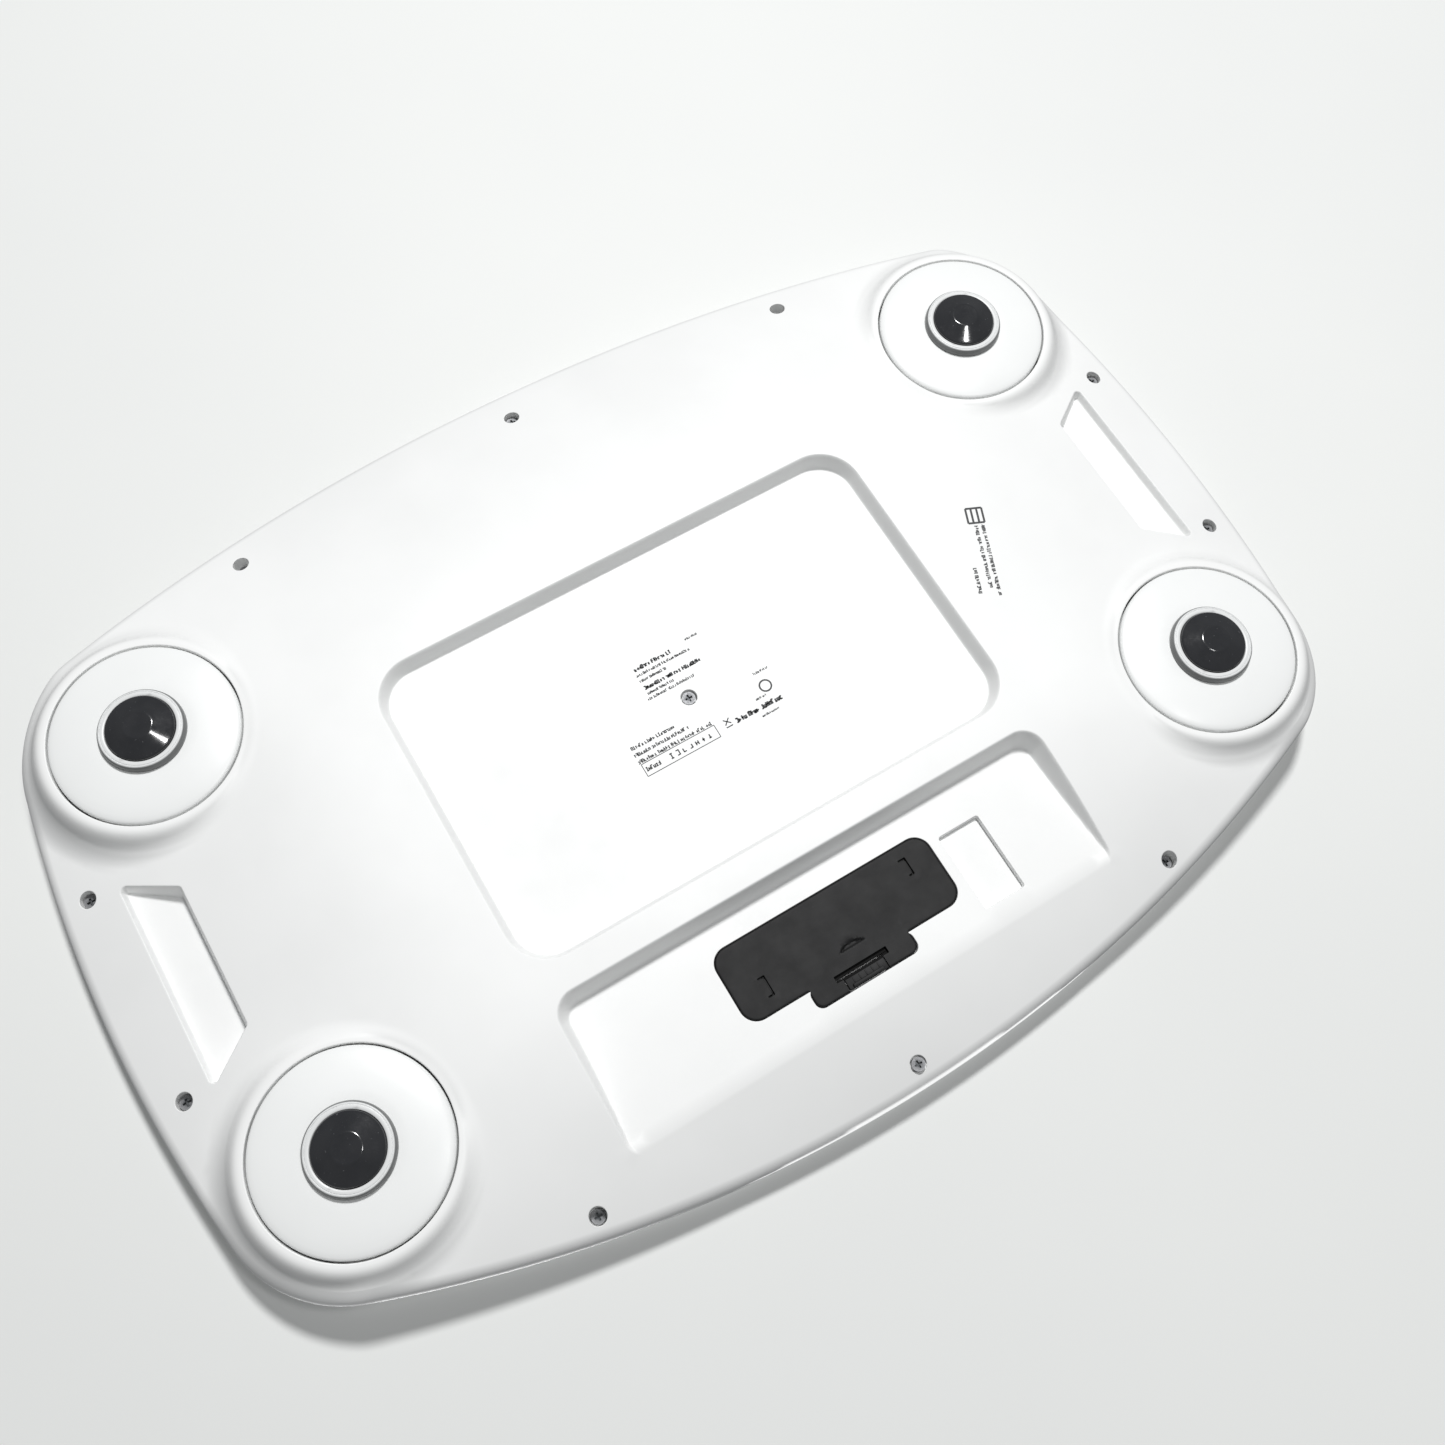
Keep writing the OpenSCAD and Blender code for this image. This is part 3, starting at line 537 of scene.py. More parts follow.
def fillet(points, radius, steps):
    """Rounds the inner corners of an open profile."""
    out = [points[0]]
    for p, q, r in zip(points, points[1:], points[2:]):
        p, q, r = (np.array(v, float) for v in (p, q, r))
        a, b = p - q, r - q
        la, lb = np.linalg.norm(a), np.linalg.norm(b)
        cut = min(radius, la * MAX_CUT, lb * MAX_CUT)
        s, e = q + a / la * cut, q + b / lb * cut
        for t in np.linspace(0, 1, steps + 1):
            out.append(tuple((1 - t) ** 2 * s + 2 * t * (1 - t) * q + t ** 2 * e))
    return out + [points[-1]]


def rounded_box(name, lo, hi, radius, material, segments=3):
    """Block with all of its edges rounded."""
    x0, y0, z0 = lo
    x1, y1, z1 = hi
    verts = [(x, y, z) for z in (z0, z1) for x, y in ((x0, y0), (x1, y0), (x1, y1), (x0, y1))]
    o = new_object(name, verts, BOX_FACES, material, BOX_SMOOTH)
    bevel = o.modifiers.new("edges", "BEVEL")
    bevel.width, bevel.segments = radius * MM, segments
    return o


def join(objects, name):
    """Makes one object of several, with their modifiers applied."""
    dg = bpy.context.evaluated_depsgraph_get()
    verts, faces, indices, materials = [], [], [], []
    for o in objects:
        me = o.evaluated_get(dg).to_mesh()
        base = len(verts)
        verts += [tuple(c / MM for c in v.co) for v in me.vertices]
        for poly in me.polygons:
            faces.append([base + i for i in poly.vertices])
            material = o.data.materials[poly.material_index]
            if material not in materials:
                materials.append(material)
            indices.append(materials.index(material))
        o.evaluated_get(dg).to_mesh_clear()
    for o in objects:
        bpy.data.objects.remove(o)
    out = new_object(name, verts, faces, materials[0])
    for material in materials[1:]:
        out.data.materials.append(material)
    out.data.polygons.foreach_set("material_index", indices)
    out.data.shade_smooth()
    out.data.set_sharp_from_angle(angle=math.radians(JOINED_SMOOTH))
    return out


def stands_for(o, body, node):
    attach(o, body)
    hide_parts(node)


# ---------------- the case

CASE = Bowed(front=197, rear=201, half=290, front_r=765, rear_r=670, end_r=622, corner=62)
SEAM_Z = mm_box("base_shell")[1][2]
WALL, EDGE_R = 2.6, 5
CORNERS = ("front_left", "front_right", "rear_left", "rear_right")
FOOT_AT = {corner: plan_centre("foot_pad_" + corner) for corner in CORNERS}
OPENING_R, RIM_R, RIM_Z, CEILING_Z, BORE_R = 42.4, 45.4, 10.9, 21.4, 10.6
BAY_Z = mm_box("battery_door")[0][2]
RECESS_Z, GRIP_Z, LATCH_SPACE_Z = 18.2, 29.0, 29.5
RECESS = rectangle(0, 0, 252, 154, 20)
BAY = rectangle(0, -128.8, 248, 74.4, 10.5)
POCKET = rectangle(-71.7, -132, 21.4, 38, 1.2)
GRIPS = [Polygon([(s * 235.3, -34 * s), (s * 259, -49.5 * s), (s * 259, 49.5 * s),
                  (s * 235.3, 34 * s)], 2.2) for s in (1, -1)]
DOOR = rectangle(0, -124.1, 111, 34.8, 7.65)
DOOR_HOLE = rectangle(0, -124.1, 111.7, 35.5, 8)
LATCH_SPACE = rectangle(0, -146.05, 52.8, 10.1, 3.8)
SCREWS = [(-149.4, 165.5), (0, 176.8), (149.4, 165.5), (-147.9, -174.2), (0, -191),
          (147.9, -174.2), (-273, 52), (-272, -47.3), (273, 52), (272, -47.3)]
CENTRE_SCREW = (2, 0)
WELL_R, WELL_Z, CENTRE_WELL_Z = 3.8, 34.35, 21.75
WELLS = [(Circle(*at, WELL_R), WELL_Z) for at in SCREWS]
WELLS.append((Circle(*CENTRE_SCREW, WELL_R), CENTRE_WELL_Z))

# outline, floor, then the wall's slope and the blends at its edge and at its foot
CAVITIES = [(RECESS, RECESS_Z, 3.4, 2.6, 2.0), (BAY, BAY_Z, 3.4, 2.6, 2.0)]
CAVITIES += [(grip, GRIP_Z, 4.5, 2.4, 1.6) for grip in GRIPS]
# outline, floor, radius of its lip, slope of its wall
STEEP = 60
OPENINGS = [(POCKET, BAY_Z + 3.2, 0.25, 8), (LATCH_SPACE, LATCH_SPACE_Z, 0.25, 30),
            (DOOR_HOLE, BAY_Z + 0.5, 0.3, STEEP)]
OPENINGS += [(well, floor, 0.35, STEEP) for well, floor in WELLS]
OPENINGS += [(Circle(*at, OPENING_R), CEILING_Z, 0.55, STEEP) for at in FOOT_AT.values()]

# height of the underside's pillow, where its rise starts and over what length it rises
CROWN_Z, CROWN_RISE, CROWN_BLEND = 9, 18.9, 1.5
CROWN_X, CROWN_Y = (143, 130), (76, 103)
# how a recess fades out, and how far outside its outline it still counts
FADE_START, FADE_DEPTH, DRAFT_REACH = 0.4, 2.4, 4
# flank of a foot's boss: distance from the foot's centre and height
FLANK = [(0, RIM_Z), (RIM_R, RIM_Z), (47.6, 12.4), (50, 16), (53, 22), (57.6, 29.5), (90, 84)]
FLANK_STEP, FLANK_SIGMA, FLANK_REACH = 0.1, 0.9, 88
# its blend into the pillow widens by a slope from a distance, between two widths
BLEND_FROM, BLEND_SLOPE, BLEND_WIDTHS = 44.5, 1.1, (0.4, 9)
SEAM_LIP = 0.15


def smoothed_flank():
    """The flank as a fine table of distances and heights, blurred over FLANK_SIGMA."""
    r = np.arange(30, 100, FLANK_STEP)
    z = np.interp(r, *zip(*FLANK))
    bell = np.exp(-0.5 * (np.arange(-30, 31) * FLANK_STEP / FLANK_SIGMA) ** 2)
    whole = slice(40, -40)
    return r[whole], np.convolve(z, bell / bell.sum(), "same")[whole]


FLANK_R, FLANK_Z = smoothed_flank()


def crown(x, y):
    """The pillow of the underside, before any recess."""
    end, side = (CROWN_RISE * (np.maximum(np.abs(v) - start, 0) / length) ** 2
                 for v, (start, length) in ((x, CROWN_X), (y, CROWN_Y)))
    return CROWN_Z + smax(end, side, CROWN_BLEND)


def lipped(s, z, floor, lip, slope):
    """Opening with a steep wall: s is the distance from its edge, lip the edge's radius."""
    wall = z + lip - s * slope
    return np.minimum(np.where(s > 0, z + rounding(s, lip), wall), np.maximum(floor, z))


def drafted(s, z, floor, slope, edge, foot):
    """Recess with a drafted wall, rounded at its edge and along its floor. It fades out where the
    surface already lies about as deep as its floor."""
    cut = smin(smax(z, z - s * slope, edge), floor, foot)
    depth = np.clip((floor - z + FADE_START) / FADE_DEPTH, 0, 1)
    return np.where(s > DRAFT_REACH, z, z + (cut - z) * depth * depth * (3 - 2 * depth))


def underside(x, y):
    z = crown(x, y)
    for fx, fy in FOOT_AT.values():
        r = np.hypot(x - fx, y - fy)
        blend = np.clip((r - BLEND_FROM) * BLEND_SLOPE, *BLEND_WIDTHS)
        z = np.where(r < FLANK_REACH, smin(z, np.interp(r, FLANK_R, FLANK_Z), blend), z)
    z = np.minimum(z + rounding(-CASE.distance(x, y), EDGE_R), SEAM_Z - SEAM_LIP)
    for outline, *recess in CAVITIES:
        z = drafted(outline.distance(x, y), z, *recess)
    for outline, *opening in OPENINGS:
        z = lipped(outline.distance(x, y), z, *opening)
    return z


def base_inner(x, y):
    inner = np.minimum(underside(x, y) + WALL, SEAM_Z)
    return np.where(CASE.distance(x, y) > -WALL, SEAM_Z, inner)


def base_keep(x, y):
    keep = (CASE.distance(x, y) < 0) & (DOOR_HOLE.distance(x, y) > 0)
    for fx, fy in FOOT_AT.values():
        keep &= np.hypot(x - fx, y - fy) > BORE_R
    return keep


# rings of points at each edge, down each wall and round each floor: outline, how far outside it
# (negative: inside), distance between points
base_rings = rings_of(CASE, (0, -0.12, -0.45, -1.0, -1.8, -2.8, -3.9, -5.0, -7.5), 4.0)
base_rings += rings_of(RECESS, (2.2, 1.2, 0.75, 0.4, 0.1, -0.2, -0.6, -1.2, -1.8, -2.3, -2.7, -3.1,
                                -3.6, -4.6))
base_rings += rings_of(BAY, (1.8, 1.0, 0.6, 0.3, 0.05, -0.25, -0.6, -1.2, -1.8, -2.4, -2.9, -3.3,
                             -3.7, -4.1, -5.0))
for grip in GRIPS:
    base_rings += rings_of(grip, (1.6, 0.9, 0.5, 0.2, -0.1, -0.4, -0.9, -1.5, -2.1, -2.5, -3.0,
                                  -4.0), 2.5)
base_rings += rings_of(POCKET, (0.8, 0.25, 0.12, 0.03, 0, -0.2, -0.42, -0.8), 2.5)
base_rings += rings_of(LATCH_SPACE, (0.8, 0.25, 0.12, 0.03, 0, -0.12, -0.26), 2)
base_rings += rings_of(DOOR_HOLE, (0.9, 0.3, 0.15, 0.04, 0), 2)
FOOT_CIRCLES = [Circle(*at, 0) for at in FOOT_AT.values()]
for foot in FOOT_CIRCLES:
    base_rings += rings_of(foot, (BORE_R, 41.0, 42.2, 42.3, OPENING_R, 42.43, 42.52, 42.7, 42.95,
                                  44, RIM_R, 46.4, 47.4, 48.4, 49.5, 51, 52.5, 54, 55.5, 57, 59),
                           2.2)
for well, _ in WELLS:
    base_rings += rings_of(well, (0.9, 0.35, 0.2, 0.08, 0.02, 0, -0.1, -0.2, -0.35), 0.7)
around_feet = [tuple(p) for foot in FOOT_CIRCLES
               for ring in rings_of(foot, (62, 65, 68, 72, 76, 80), 3.5) for p in ring]
base_plan = flat_grid(base_rings, CASE, 5.0, around_feet)
base = slab("base_shell_moulding", base_plan, WHITE, underside, base_inner, base_keep,
            smooth_upper=False)
stands_for(base, "housing", "base_shell")

# ---------------- the feet

DISC_PROFILE = [(0, 9.4), (18.9, 9.4), (18.9, 8.35), (19.6, 8.26), (24, 8.42), (30, 8.85),
                (35, 9.4), (38.5, 9.98), (40.3, 10.42), (41.1, 10.8), (41.48, 11.25), (41.6, 11.8),
                (41.6, 18.5), (39.4, 18.5), (39.4, 13.2), (19, 12.0), (9, 12.0), (9, 25.2),
                (0, 25.2)]
COLLAR_PROFILE = fillet([(15.2, 9.3), (15.2, 5.0), (15.5, 4.55), (16.1, 4.4), (17.1, 4.4),
                         (17.25, 4.65), (17.4, 4.65), (17.55, 4.45), (17.9, 4.5), (18.75, 5.5),
                         (19.08, 6.8), (19.1, 9.3)], 0.12, 2)
COLLAR_PROFILE.append(COLLAR_PROFILE[0])
PAD_PROFILE = [(0, 0.12), (3.4, 0.10), (5.6, 0.02), (6.1, 0.0), (6.6, 0.12), (7.0, 0.30),
               (7.5, 0.50), (13.7, 2.98), (14.2, 3.18), (14.7, 3.42), (15.0, 3.85), (15.1, 4.5),
               (15.1, 9.3), (0, 9.3)]
# piece, CAD node, profile, material, slot, sides, smoothing angle
FOOT_PIECES = [
    ("foot_disc_face_", "foot_disc_", DISC_PROFILE, DISC_WHITE, "white_shell", 144, 40),
    ("foot_collar_ring_", "foot_collar_", COLLAR_PROFILE, COLLAR, "collar_grey", 96, 30),
    ("foot_pad_cap_", "foot_pad_", PAD_PROFILE, PAD_BLACK, "pad_rubber", 96, 24)]
for corner, at in FOOT_AT.items():
    for piece, node, profile, material, slot, sides, smooth in FOOT_PIECES:
        stands_for(lathe(piece + corner, profile, material, at, sides, smooth), "foot_" + corner,
                   node + corner)

# ---------------- the battery door and its latch

DOOR_Z, DOOR_T, DOOR_ROUND = BAY_Z, 2.4, 0.8
DOOR_BACK = DOOR_Z + DOOR_T
EAR = rectangle(0, -143.1, 52, 15.2, 4)
LATCH_SLOT = rectangle(0, -143.3, 27, 3.2, 0.3)
LATCH_GAP = rectangle(0, -147.9, 20.8, 9.2, 0.4)
# the finger mark is the part of a circle beyond a chord, with a sloping wall
MARK_CIRCLE, MARK_CHORD_Y, MARK_SLOPE, MARK_DEPTH = Circle(-1, -141.7, 9.8), -134.7, 1.6, 1.1
# two brackets of three strokes each
BRACKETS = [rectangle(-41, -113.2, 3.6, 0.9, 0.2), rectangle(-42.4, -117, 0.9, 8.4, 0.2),
            rectangle(-41.4, -121, 2.4, 0.8, 0.2), rectangle(40.6, -126, 3.4, 0.9, 0.2),
            rectangle(39.4, -130.4, 0.9, 9.2, 0.2), rectangle(40.6, -134.8, 2.8, 0.8, 0.2)]
STROKE_DEPTH, STROKE_LIP, STROKE_SLOPE = 1.5, 0.12, 12


def door_face(x, y):
    inset = -smin(DOOR.distance(x, y), EAR.distance(x, y), 1.2)
    z = DOOR_Z + rounding(inset, DOOR_ROUND)
    for stroke in BRACKETS:
        z = lipped(stroke.distance(x, y), z, DOOR_Z + STROKE_DEPTH, STROKE_LIP, STROKE_SLOPE)
    mark = np.maximum(MARK_CIRCLE.distance(x, y), MARK_CHORD_Y - y)
    marked = DOOR_Z + np.minimum(-mark * MARK_SLOPE, MARK_DEPTH)
    return smax(z, np.where(mark < 0, marked, z - 1), 0.02)


def door_keep(x, y):
    inside = np.minimum(DOOR.distance(x, y), EAR.distance(x, y)) < 0
    return inside & (LATCH_SLOT.distance(x, y) > 0) & (LATCH_GAP.distance(x, y) > 0)


door_rings = []
for outline in (DOOR, EAR):
    door_rings += rings_of(outline, (0, -0.06, -0.2, -0.4, -0.6, -0.85, -1.6), 1.5)
for stroke in BRACKETS:
    door_rings += rings_of(stroke, (0.25, 0.1, 0, -0.09), 1.2)
for outline in (LATCH_SLOT, LATCH_GAP):
    door_rings += rings_of(outline, (0, 0.4), 1.5)
mark_points = [(x, MARK_CHORD_Y + d) for x in np.arange(-8.4, 6.4, 0.5)
               for d in (-0.1, 0.05, 0.5, 1.1, 1.8, 2.4)]
door_plan = flat_grid(door_rings, rectangle(0, -130, 116, 50, 2), 2.2, mark_points, 0.4)
door_parts = [slab("battery_door_panel", door_plan, CHARCOAL, door_face, level(DOOR_BACK),
                   door_keep, smooth_upper=False)]
HINGE_X, HINGE_HALF, HINGE_TOP = 24, 3, DOOR_Z + 5
# height and ends of the painted-shade sheets behind the latch slot
SLOT_SHADE_Z, SLOT_SHADE_END_X = DOOR_Z + 1.9, (10.7, 13.8)
for x in (-HINGE_X, HINGE_X):
    x0, x1 = x - HINGE_HALF, x + HINGE_HALF
    door_parts += [
        rounded_box("hinge_post", (x0, -109, DOOR_BACK - 0.05), (x1, -106.8, HINGE_TOP), 0.3,
                    CHARCOAL),
        rounded_box("hinge_hook", (x0, -107.4, DOOR_Z + 3.2), (x1, -103.8, HINGE_TOP), 0.4,
                    CHARCOAL)]
# dark sheets that fill the latch slot and its two ends: painted shade of the pocket behind them
near_x, far_x = SLOT_SHADE_END_X
for name, x0, x1, y0, y1 in (("slot_shade_sheet", -far_x, far_x, -143.5, -141.2),
                             ("slot_shade_end", -far_x, -near_x, -145.3, -143.6),
                             ("slot_shade_end", near_x, far_x, -145.3, -143.6)):
    door_parts.append(rounded_box(name, (x0, y0, SLOT_SHADE_Z), (x1, y1, DOOR_BACK), 0.1,
                                  SLOT_PAINTED_SHADE, 1))
stands_for(join(door_parts, "battery_door_moulding"), "battery_door",
           "battery_door")

(latch_x0, latch_y0, latch_z0), (latch_x1, latch_y1, latch_z1) = mm_box("door_latch")
# name, how far inside the latch's ends, y and z ranges, edge radius, material
LATCH_BLOCKS = [
    ("latch_plate", 0, latch_y0, latch_y0 + 5, DOOR_Z, DOOR_Z + 1.8, 0.35, CHARCOAL),
    # the lip is near-black painted shade that darkens the slot above the latch
    ("latch_shade_lip", 0, latch_y0 + 4.9, latch_y0 + 6.2, DOOR_Z + 0.9, DOOR_Z + 1.8, 0.1, SLOT_PAINTED_SHADE),
    ("finger_bar", 2, latch_y0 + 0.2, latch_y0 + 1.9, latch_z0, DOOR_Z + 1, 0.5, CHARCOAL),
    ("spring_leg", 2, latch_y1 - 1.2, latch_y1, DOOR_Z + 1, latch_z1, 0.3, CHARCOAL),
    ("leg_foot", 2, latch_y0 + 3.4, latch_y1, DOOR_Z + 1, DOOR_Z + 2.4, 0.3, CHARCOAL),
    ("latch_nose", 3, latch_y0 + 0.2, latch_y0 + 1.9, DOOR_Z + 1, DOOR_Z + 5, 0.35, CHARCOAL)]
latch_parts = [
    rounded_box(name, (latch_x0 + end, y0, z0), (latch_x1 - end, y1, z1), radius, material)
    for name, end, y0, y1, z0, z1, radius, material in LATCH_BLOCKS]
GRIP_RIB_PITCH, GRIP_RIB_HALF = 3.2, 0.3
for i in range(-2, 3):
    x = i * GRIP_RIB_PITCH
    latch_parts.append(rounded_box(
        "grip_rib", (x - GRIP_RIB_HALF, latch_y0 + 2.1, DOOR_Z - 0.25),
        (x + GRIP_RIB_HALF, latch_y0 + 4.4, DOOR_Z + 0.3), 0.12, CHARCOAL))
stands_for(join(latch_parts, "door_latch_moulding"), "door_latch", "door_latch")

# ---------------- small print that spells nothing

INK_T = 0.09
# signs, as shares of a line's height or of a sign's width
SIGN_PITCH, SIGN_FILL, WORD_GAP = 0.62, 0.78, 0.7
BOLD_STROKE, THIN_STROKE, CROSS_STROKE = 0.36, 0.28, 0.9
SHORT_SIGN, TALL_SHARE = 0.72, 0.35
WORD_LENGTHS = (3, 9)
rng = random.Random(7)


class Marks:
    """Thin raised bars along lines, in the rhythm of small print."""

    def __init__(self):
        self.verts, self.faces = [], []

    def bar(self, a, b, width, height_at):
        """Bar from a to b, INK_T thick; height_at gives its lower face."""
        a, b = np.array(a, float), np.array(b, float)
        d = (b - a) / max(np.linalg.norm(b - a), 1e-6)
        n = np.array([-d[1], d[0]]) * width / 2
        base = len(self.verts)
        corners = [a - n, b - n, b + n, a + n]
        for lift in (INK_T, 0):
            self.verts += [(c[0], c[1], height_at(*c) + lift) for c in corners]
        self.faces += [[base + i for i in f] for f in BOX_FACES]

    def glyph(self, at, along, up, width, height, stroke, height_at):
        """One made-up sign: one or two uprights and one or two cross strokes."""
        def point(u, v):
            return np.array(at) + np.array(along) * u * width + np.array(up) * v * height

        tall = 1.0 if rng.random() < TALL_SHARE else SHORT_SIGN
        for u in rng.choice([(0.1,), (0.1, 0.9), (0.5,), (0.9,)]):
            self.bar(point(u, 0), point(u, tall), stroke, height_at)
        for v in rng.sample([0.06, tall * 0.5, tall * 0.94], rng.choice([1, 1, 2])):
            self.bar(point(0.05, v), point(0.95, v), stroke * CROSS_STROKE, height_at)

    def line(self, start, end, height, bold, height_at):
        """Signs from start to end, in words of random length."""
        start, end = np.array(start, float), np.array(end, float)
        length = np.linalg.norm(end - start)
        along = (end - start) / length
        up = np.array([along[1], -along[0]]) * (1 if along[0] < 0 else -1)
        stroke = height * (BOLD_STROKE if bold else THIN_STROKE)
        width, t = height * SIGN_PITCH, 0.0
        word = rng.randint(*WORD_LENGTHS)
        while t + width < length:
            self.glyph(start + along * t - up * height / 2, along, up, width * SIGN_FILL, height,
                       stroke, height_at)
            t += width
            word -= 1
            if word == 0:
                t, word = t + width * WORD_GAP, rng.randint(*WORD_LENGTHS)


def on_recess(x, y):
    return RECESS_Z - INK_T


def on_crown(x, y):
    return float(crown(np.array([x]), np.array([y]))[0]) - INK_T


# start x, end x, y, height of a line, bold
PRINT_LINES = [
    (-10.8, -17.9, 25.9, 1.0, False), (17, -3, 24.1, 1.9, True), (17.9, -10.6, 20.9, 1.3, False),
    (17.8, 3, 17.9, 1.3, False), (17.5, -13.2, 14, 1.9, True), (17.6, 2.9, 11, 1.3, False),
    (18.9, -6, 8.4, 1.3, False), (37.5, 14, -8.8, 1.7, False), (38, 9, -12.4, 1.7, False),
    (38, -0.6, -16, 1.7, False), (36.4, 28.5, -20.6, 2.0, False),
    (-10.7, -36.1, -20.8, 2.3, True), (-29.4, -37.7, -5, 1.1, False),
    (-24, -29.5, -16.5, 1.0, False), (-22.4, -32, -24.9, 1.0, False)]
marks = Marks()
for x0, x1, y, height, bold in PRINT_LINES:
    marks.line((x0, y), (x1, y), height, bold, on_recess)
# a framed field with a row of spaced signs
FIELD = [(37.3, -17.4), (-0.8, -17.4), (-0.8, -23.8), (37.3, -23.8)]
for a, b in zip(FIELD, FIELD[1:] + FIELD[:1]):
    marks.bar(a, b, 0.34, on_recess)
for i in range(7):
    marks.glyph((24 - i * 3.3, -22), (-1, 0), (0, 1), 1.5, 2.7, 0.6, on_recess)
# two plain signs: a ring and a cross over a bar
RING_X, RING_Y, RING_R, RING_SIDES = -31.5, -12.6, 2.8, 24
ring = [(RING_X + RING_R * math.cos(2 * math.pi * k / RING_SIDES),
         RING_Y + RING_R * math.sin(2 * math.pi * k / RING_SIDES)) for k in range(RING_SIDES + 1)]
for a, b in zip(ring, ring[1:]):
    marks.bar(a, b, 0.8, on_recess)
for a, b in (((-8.4, -17.6), (-5.4, -20.4)), ((-5.4, -17.6), (-8.4, -20.4)),
             ((-8.6, -21.6), (-5.2, -21.6))):
    marks.bar(a, b, 0.55, on_recess)
# the block beside the recess: three leaning lines and a framed sign of six bars, each at u across
# and v along the lean from the sign's centre
LEAN, ACROSS = np.array([0.38, -0.925]), np.array([0.925, 0.38])
for start, length in (((-163.5, 3.6), 39), ((-160.2, 4.4), 34), ((-146.6, -14), 15)):
    marks.line(start, np.array(start) + LEAN * length, 1.7, False, on_crown)
SIGN_AT, SIGN_HALF = np.array([-163, 9.4]), 4
for u, v, direction in ((-SIGN_HALF, 0, LEAN), (SIGN_HALF, 0, LEAN), (0, -SIGN_HALF, ACROSS),
                        (0, SIGN_HALF, ACROSS), (-1.4, 0, LEAN), (1.4, 0, LEAN)):
    centre = SIGN_AT + ACROSS * u + LEAN * v
    marks.bar(centre - direction * SIGN_HALF, centre + direction * SIGN_HALF, 1.0, on_crown)
printed = new_object("rating_marks", marks.verts, marks.faces, INK)
stands_for(printed, "housing", "rating_print")

# ---------------- the standing side

(_, _, POST_Z), (_, _, COVER_TOP) = mm_box("platform_cover")
(_, _, MAT_BOTTOM), (_, _, MAT_TOP) = mm_box("platform_mat")
COVER_SKIRT_Z, COVER_T = SEAM_Z + 0.3, 3.2
bezel_lo, bezel_hi = mm_box("display_bezel")
BEZEL_AT, BEZEL_SIZE = ((bezel_lo + bezel_hi) / 2)[:2], (bezel_hi - bezel_lo)[:2]
BEZEL = rectangle(*BEZEL_AT, *BEZEL_SIZE, 8.75)
WINDOW = rectangle(*BEZEL.corners.mean(0), *BEZEL_SIZE - (26, 14), 3)
BEZEL_SEAT_DEPTH, BEZEL_SEAT_WIDTH = 1.4, 4
BEZEL_EDGE_R, WINDOW_EDGE_R = 0.9, 0.7
ISLAND = rectangle(0, 163, 156, 120, 12)
KEYS = {key: plan_centre(key) for key in ("power_key", "unit_key", "hold_key")}
KEY_HOLE_R = 7.4
MAT_INSET, MAT_EDGE_R, MAT_EDGE_H = 20, 1, 0.8
RIB_H, RIB_PITCH, RIB_MARGIN, RIB_END, RIB_END_SCALE = 0.4, 6.2, 6, 2, 0.7
SHORTEST_RIB = 12


def mat_distance(x, y):
    """Below zero on the mat: inside the inset outline and outside the display's island."""
    return np.maximum(CASE.distance(x, y) + MAT_INSET, -ISLAND.distance(x, y))


def cover_top(x, y):
    z = COVER_TOP - rounding(-CASE.distance(x, y), EDGE_R)
    z = np.where(mat_distance(x, y) < 0.2, MAT_BOTTOM - 0.02, z)
    return np.where(BEZEL.distance(x, y) < 0.25, COVER_TOP - BEZEL_SEAT_DEPTH, z)


def cover_under(x, y):
    return np.where(CASE.distance(x, y) > -WALL, COVER_SKIRT_Z, COVER_TOP - COVER_T)


def cover_keep(x, y):
    keep = (CASE.distance(x, y) < 0) & (BEZEL.distance(x, y) > -BEZEL_SEAT_WIDTH)
    for kx, ky in KEYS.values():
        keep &= np.hypot(x - kx, y - ky) > KEY_HOLE_R
    return keep


cover_rings = rings_of(CASE, (0, -0.12, -0.4, -0.9, -1.6, -2.5, -2.7, -3.6, -5.0, -7.5,
                              -MAT_INSET + 0.25, -MAT_INSET + 0.15), 4.0)
cover_rings += rings_of(ISLAND, (-0.15, -0.25), 3)
cover_rings += rings_of(BEZEL, (0.3, 0.2, -BEZEL_SEAT_WIDTH), 3)
for at in KEYS.values():
    cover_rings += rings_of(Circle(*at, 0), (KEY_HOLE_R, KEY_HOLE_R + 0.6), 1.5)
cover = slab("platform_cover_moulding", flat_grid(cover_rings, CASE, 9.0), COVER_WHITE,
             cover_under, cover_top, cover_keep)
stands_for(cover, "housing", "platform_cover")
POST_R, POST_CHAMFER, POST_TOP = 4.1, 0.5, COVER_TOP - 3.1
post = lathe("cover_centre_post",
             [(0, POST_Z), (POST_R - POST_CHAMFER, POST_Z), (POST_R, POST_Z + POST_CHAMFER),
              (POST_R, POST_TOP), (0, POST_TOP)], INNER, CENTRE_SCREW, 48)
stands_for(post, "housing", "platform_cover")


def mat_top(x, y):
    return MAT_TOP - RIB_H - MAT_EDGE_H * rounding(-mat_distance(x, y), MAT_EDGE_R)


def mat_keep(x, y):
    return mat_distance(x, y) < 0


MAT_STEPS = (0, 0.06, 0.25, 0.6, 1.0, 3)
mat_rings = rings_of(CASE, [-MAT_INSET - s for s in MAT_STEPS], 4.0)
mat_rings += rings_of(ISLAND, MAT_STEPS, 3)
mat = slab("platform_mat_sheet", flat_grid(mat_rings, CASE, 9.0), MAT_GREY, level(MAT_BOTTOM),
           mat_top, mat_keep)
stands_for(mat, "housing", "platform_mat")

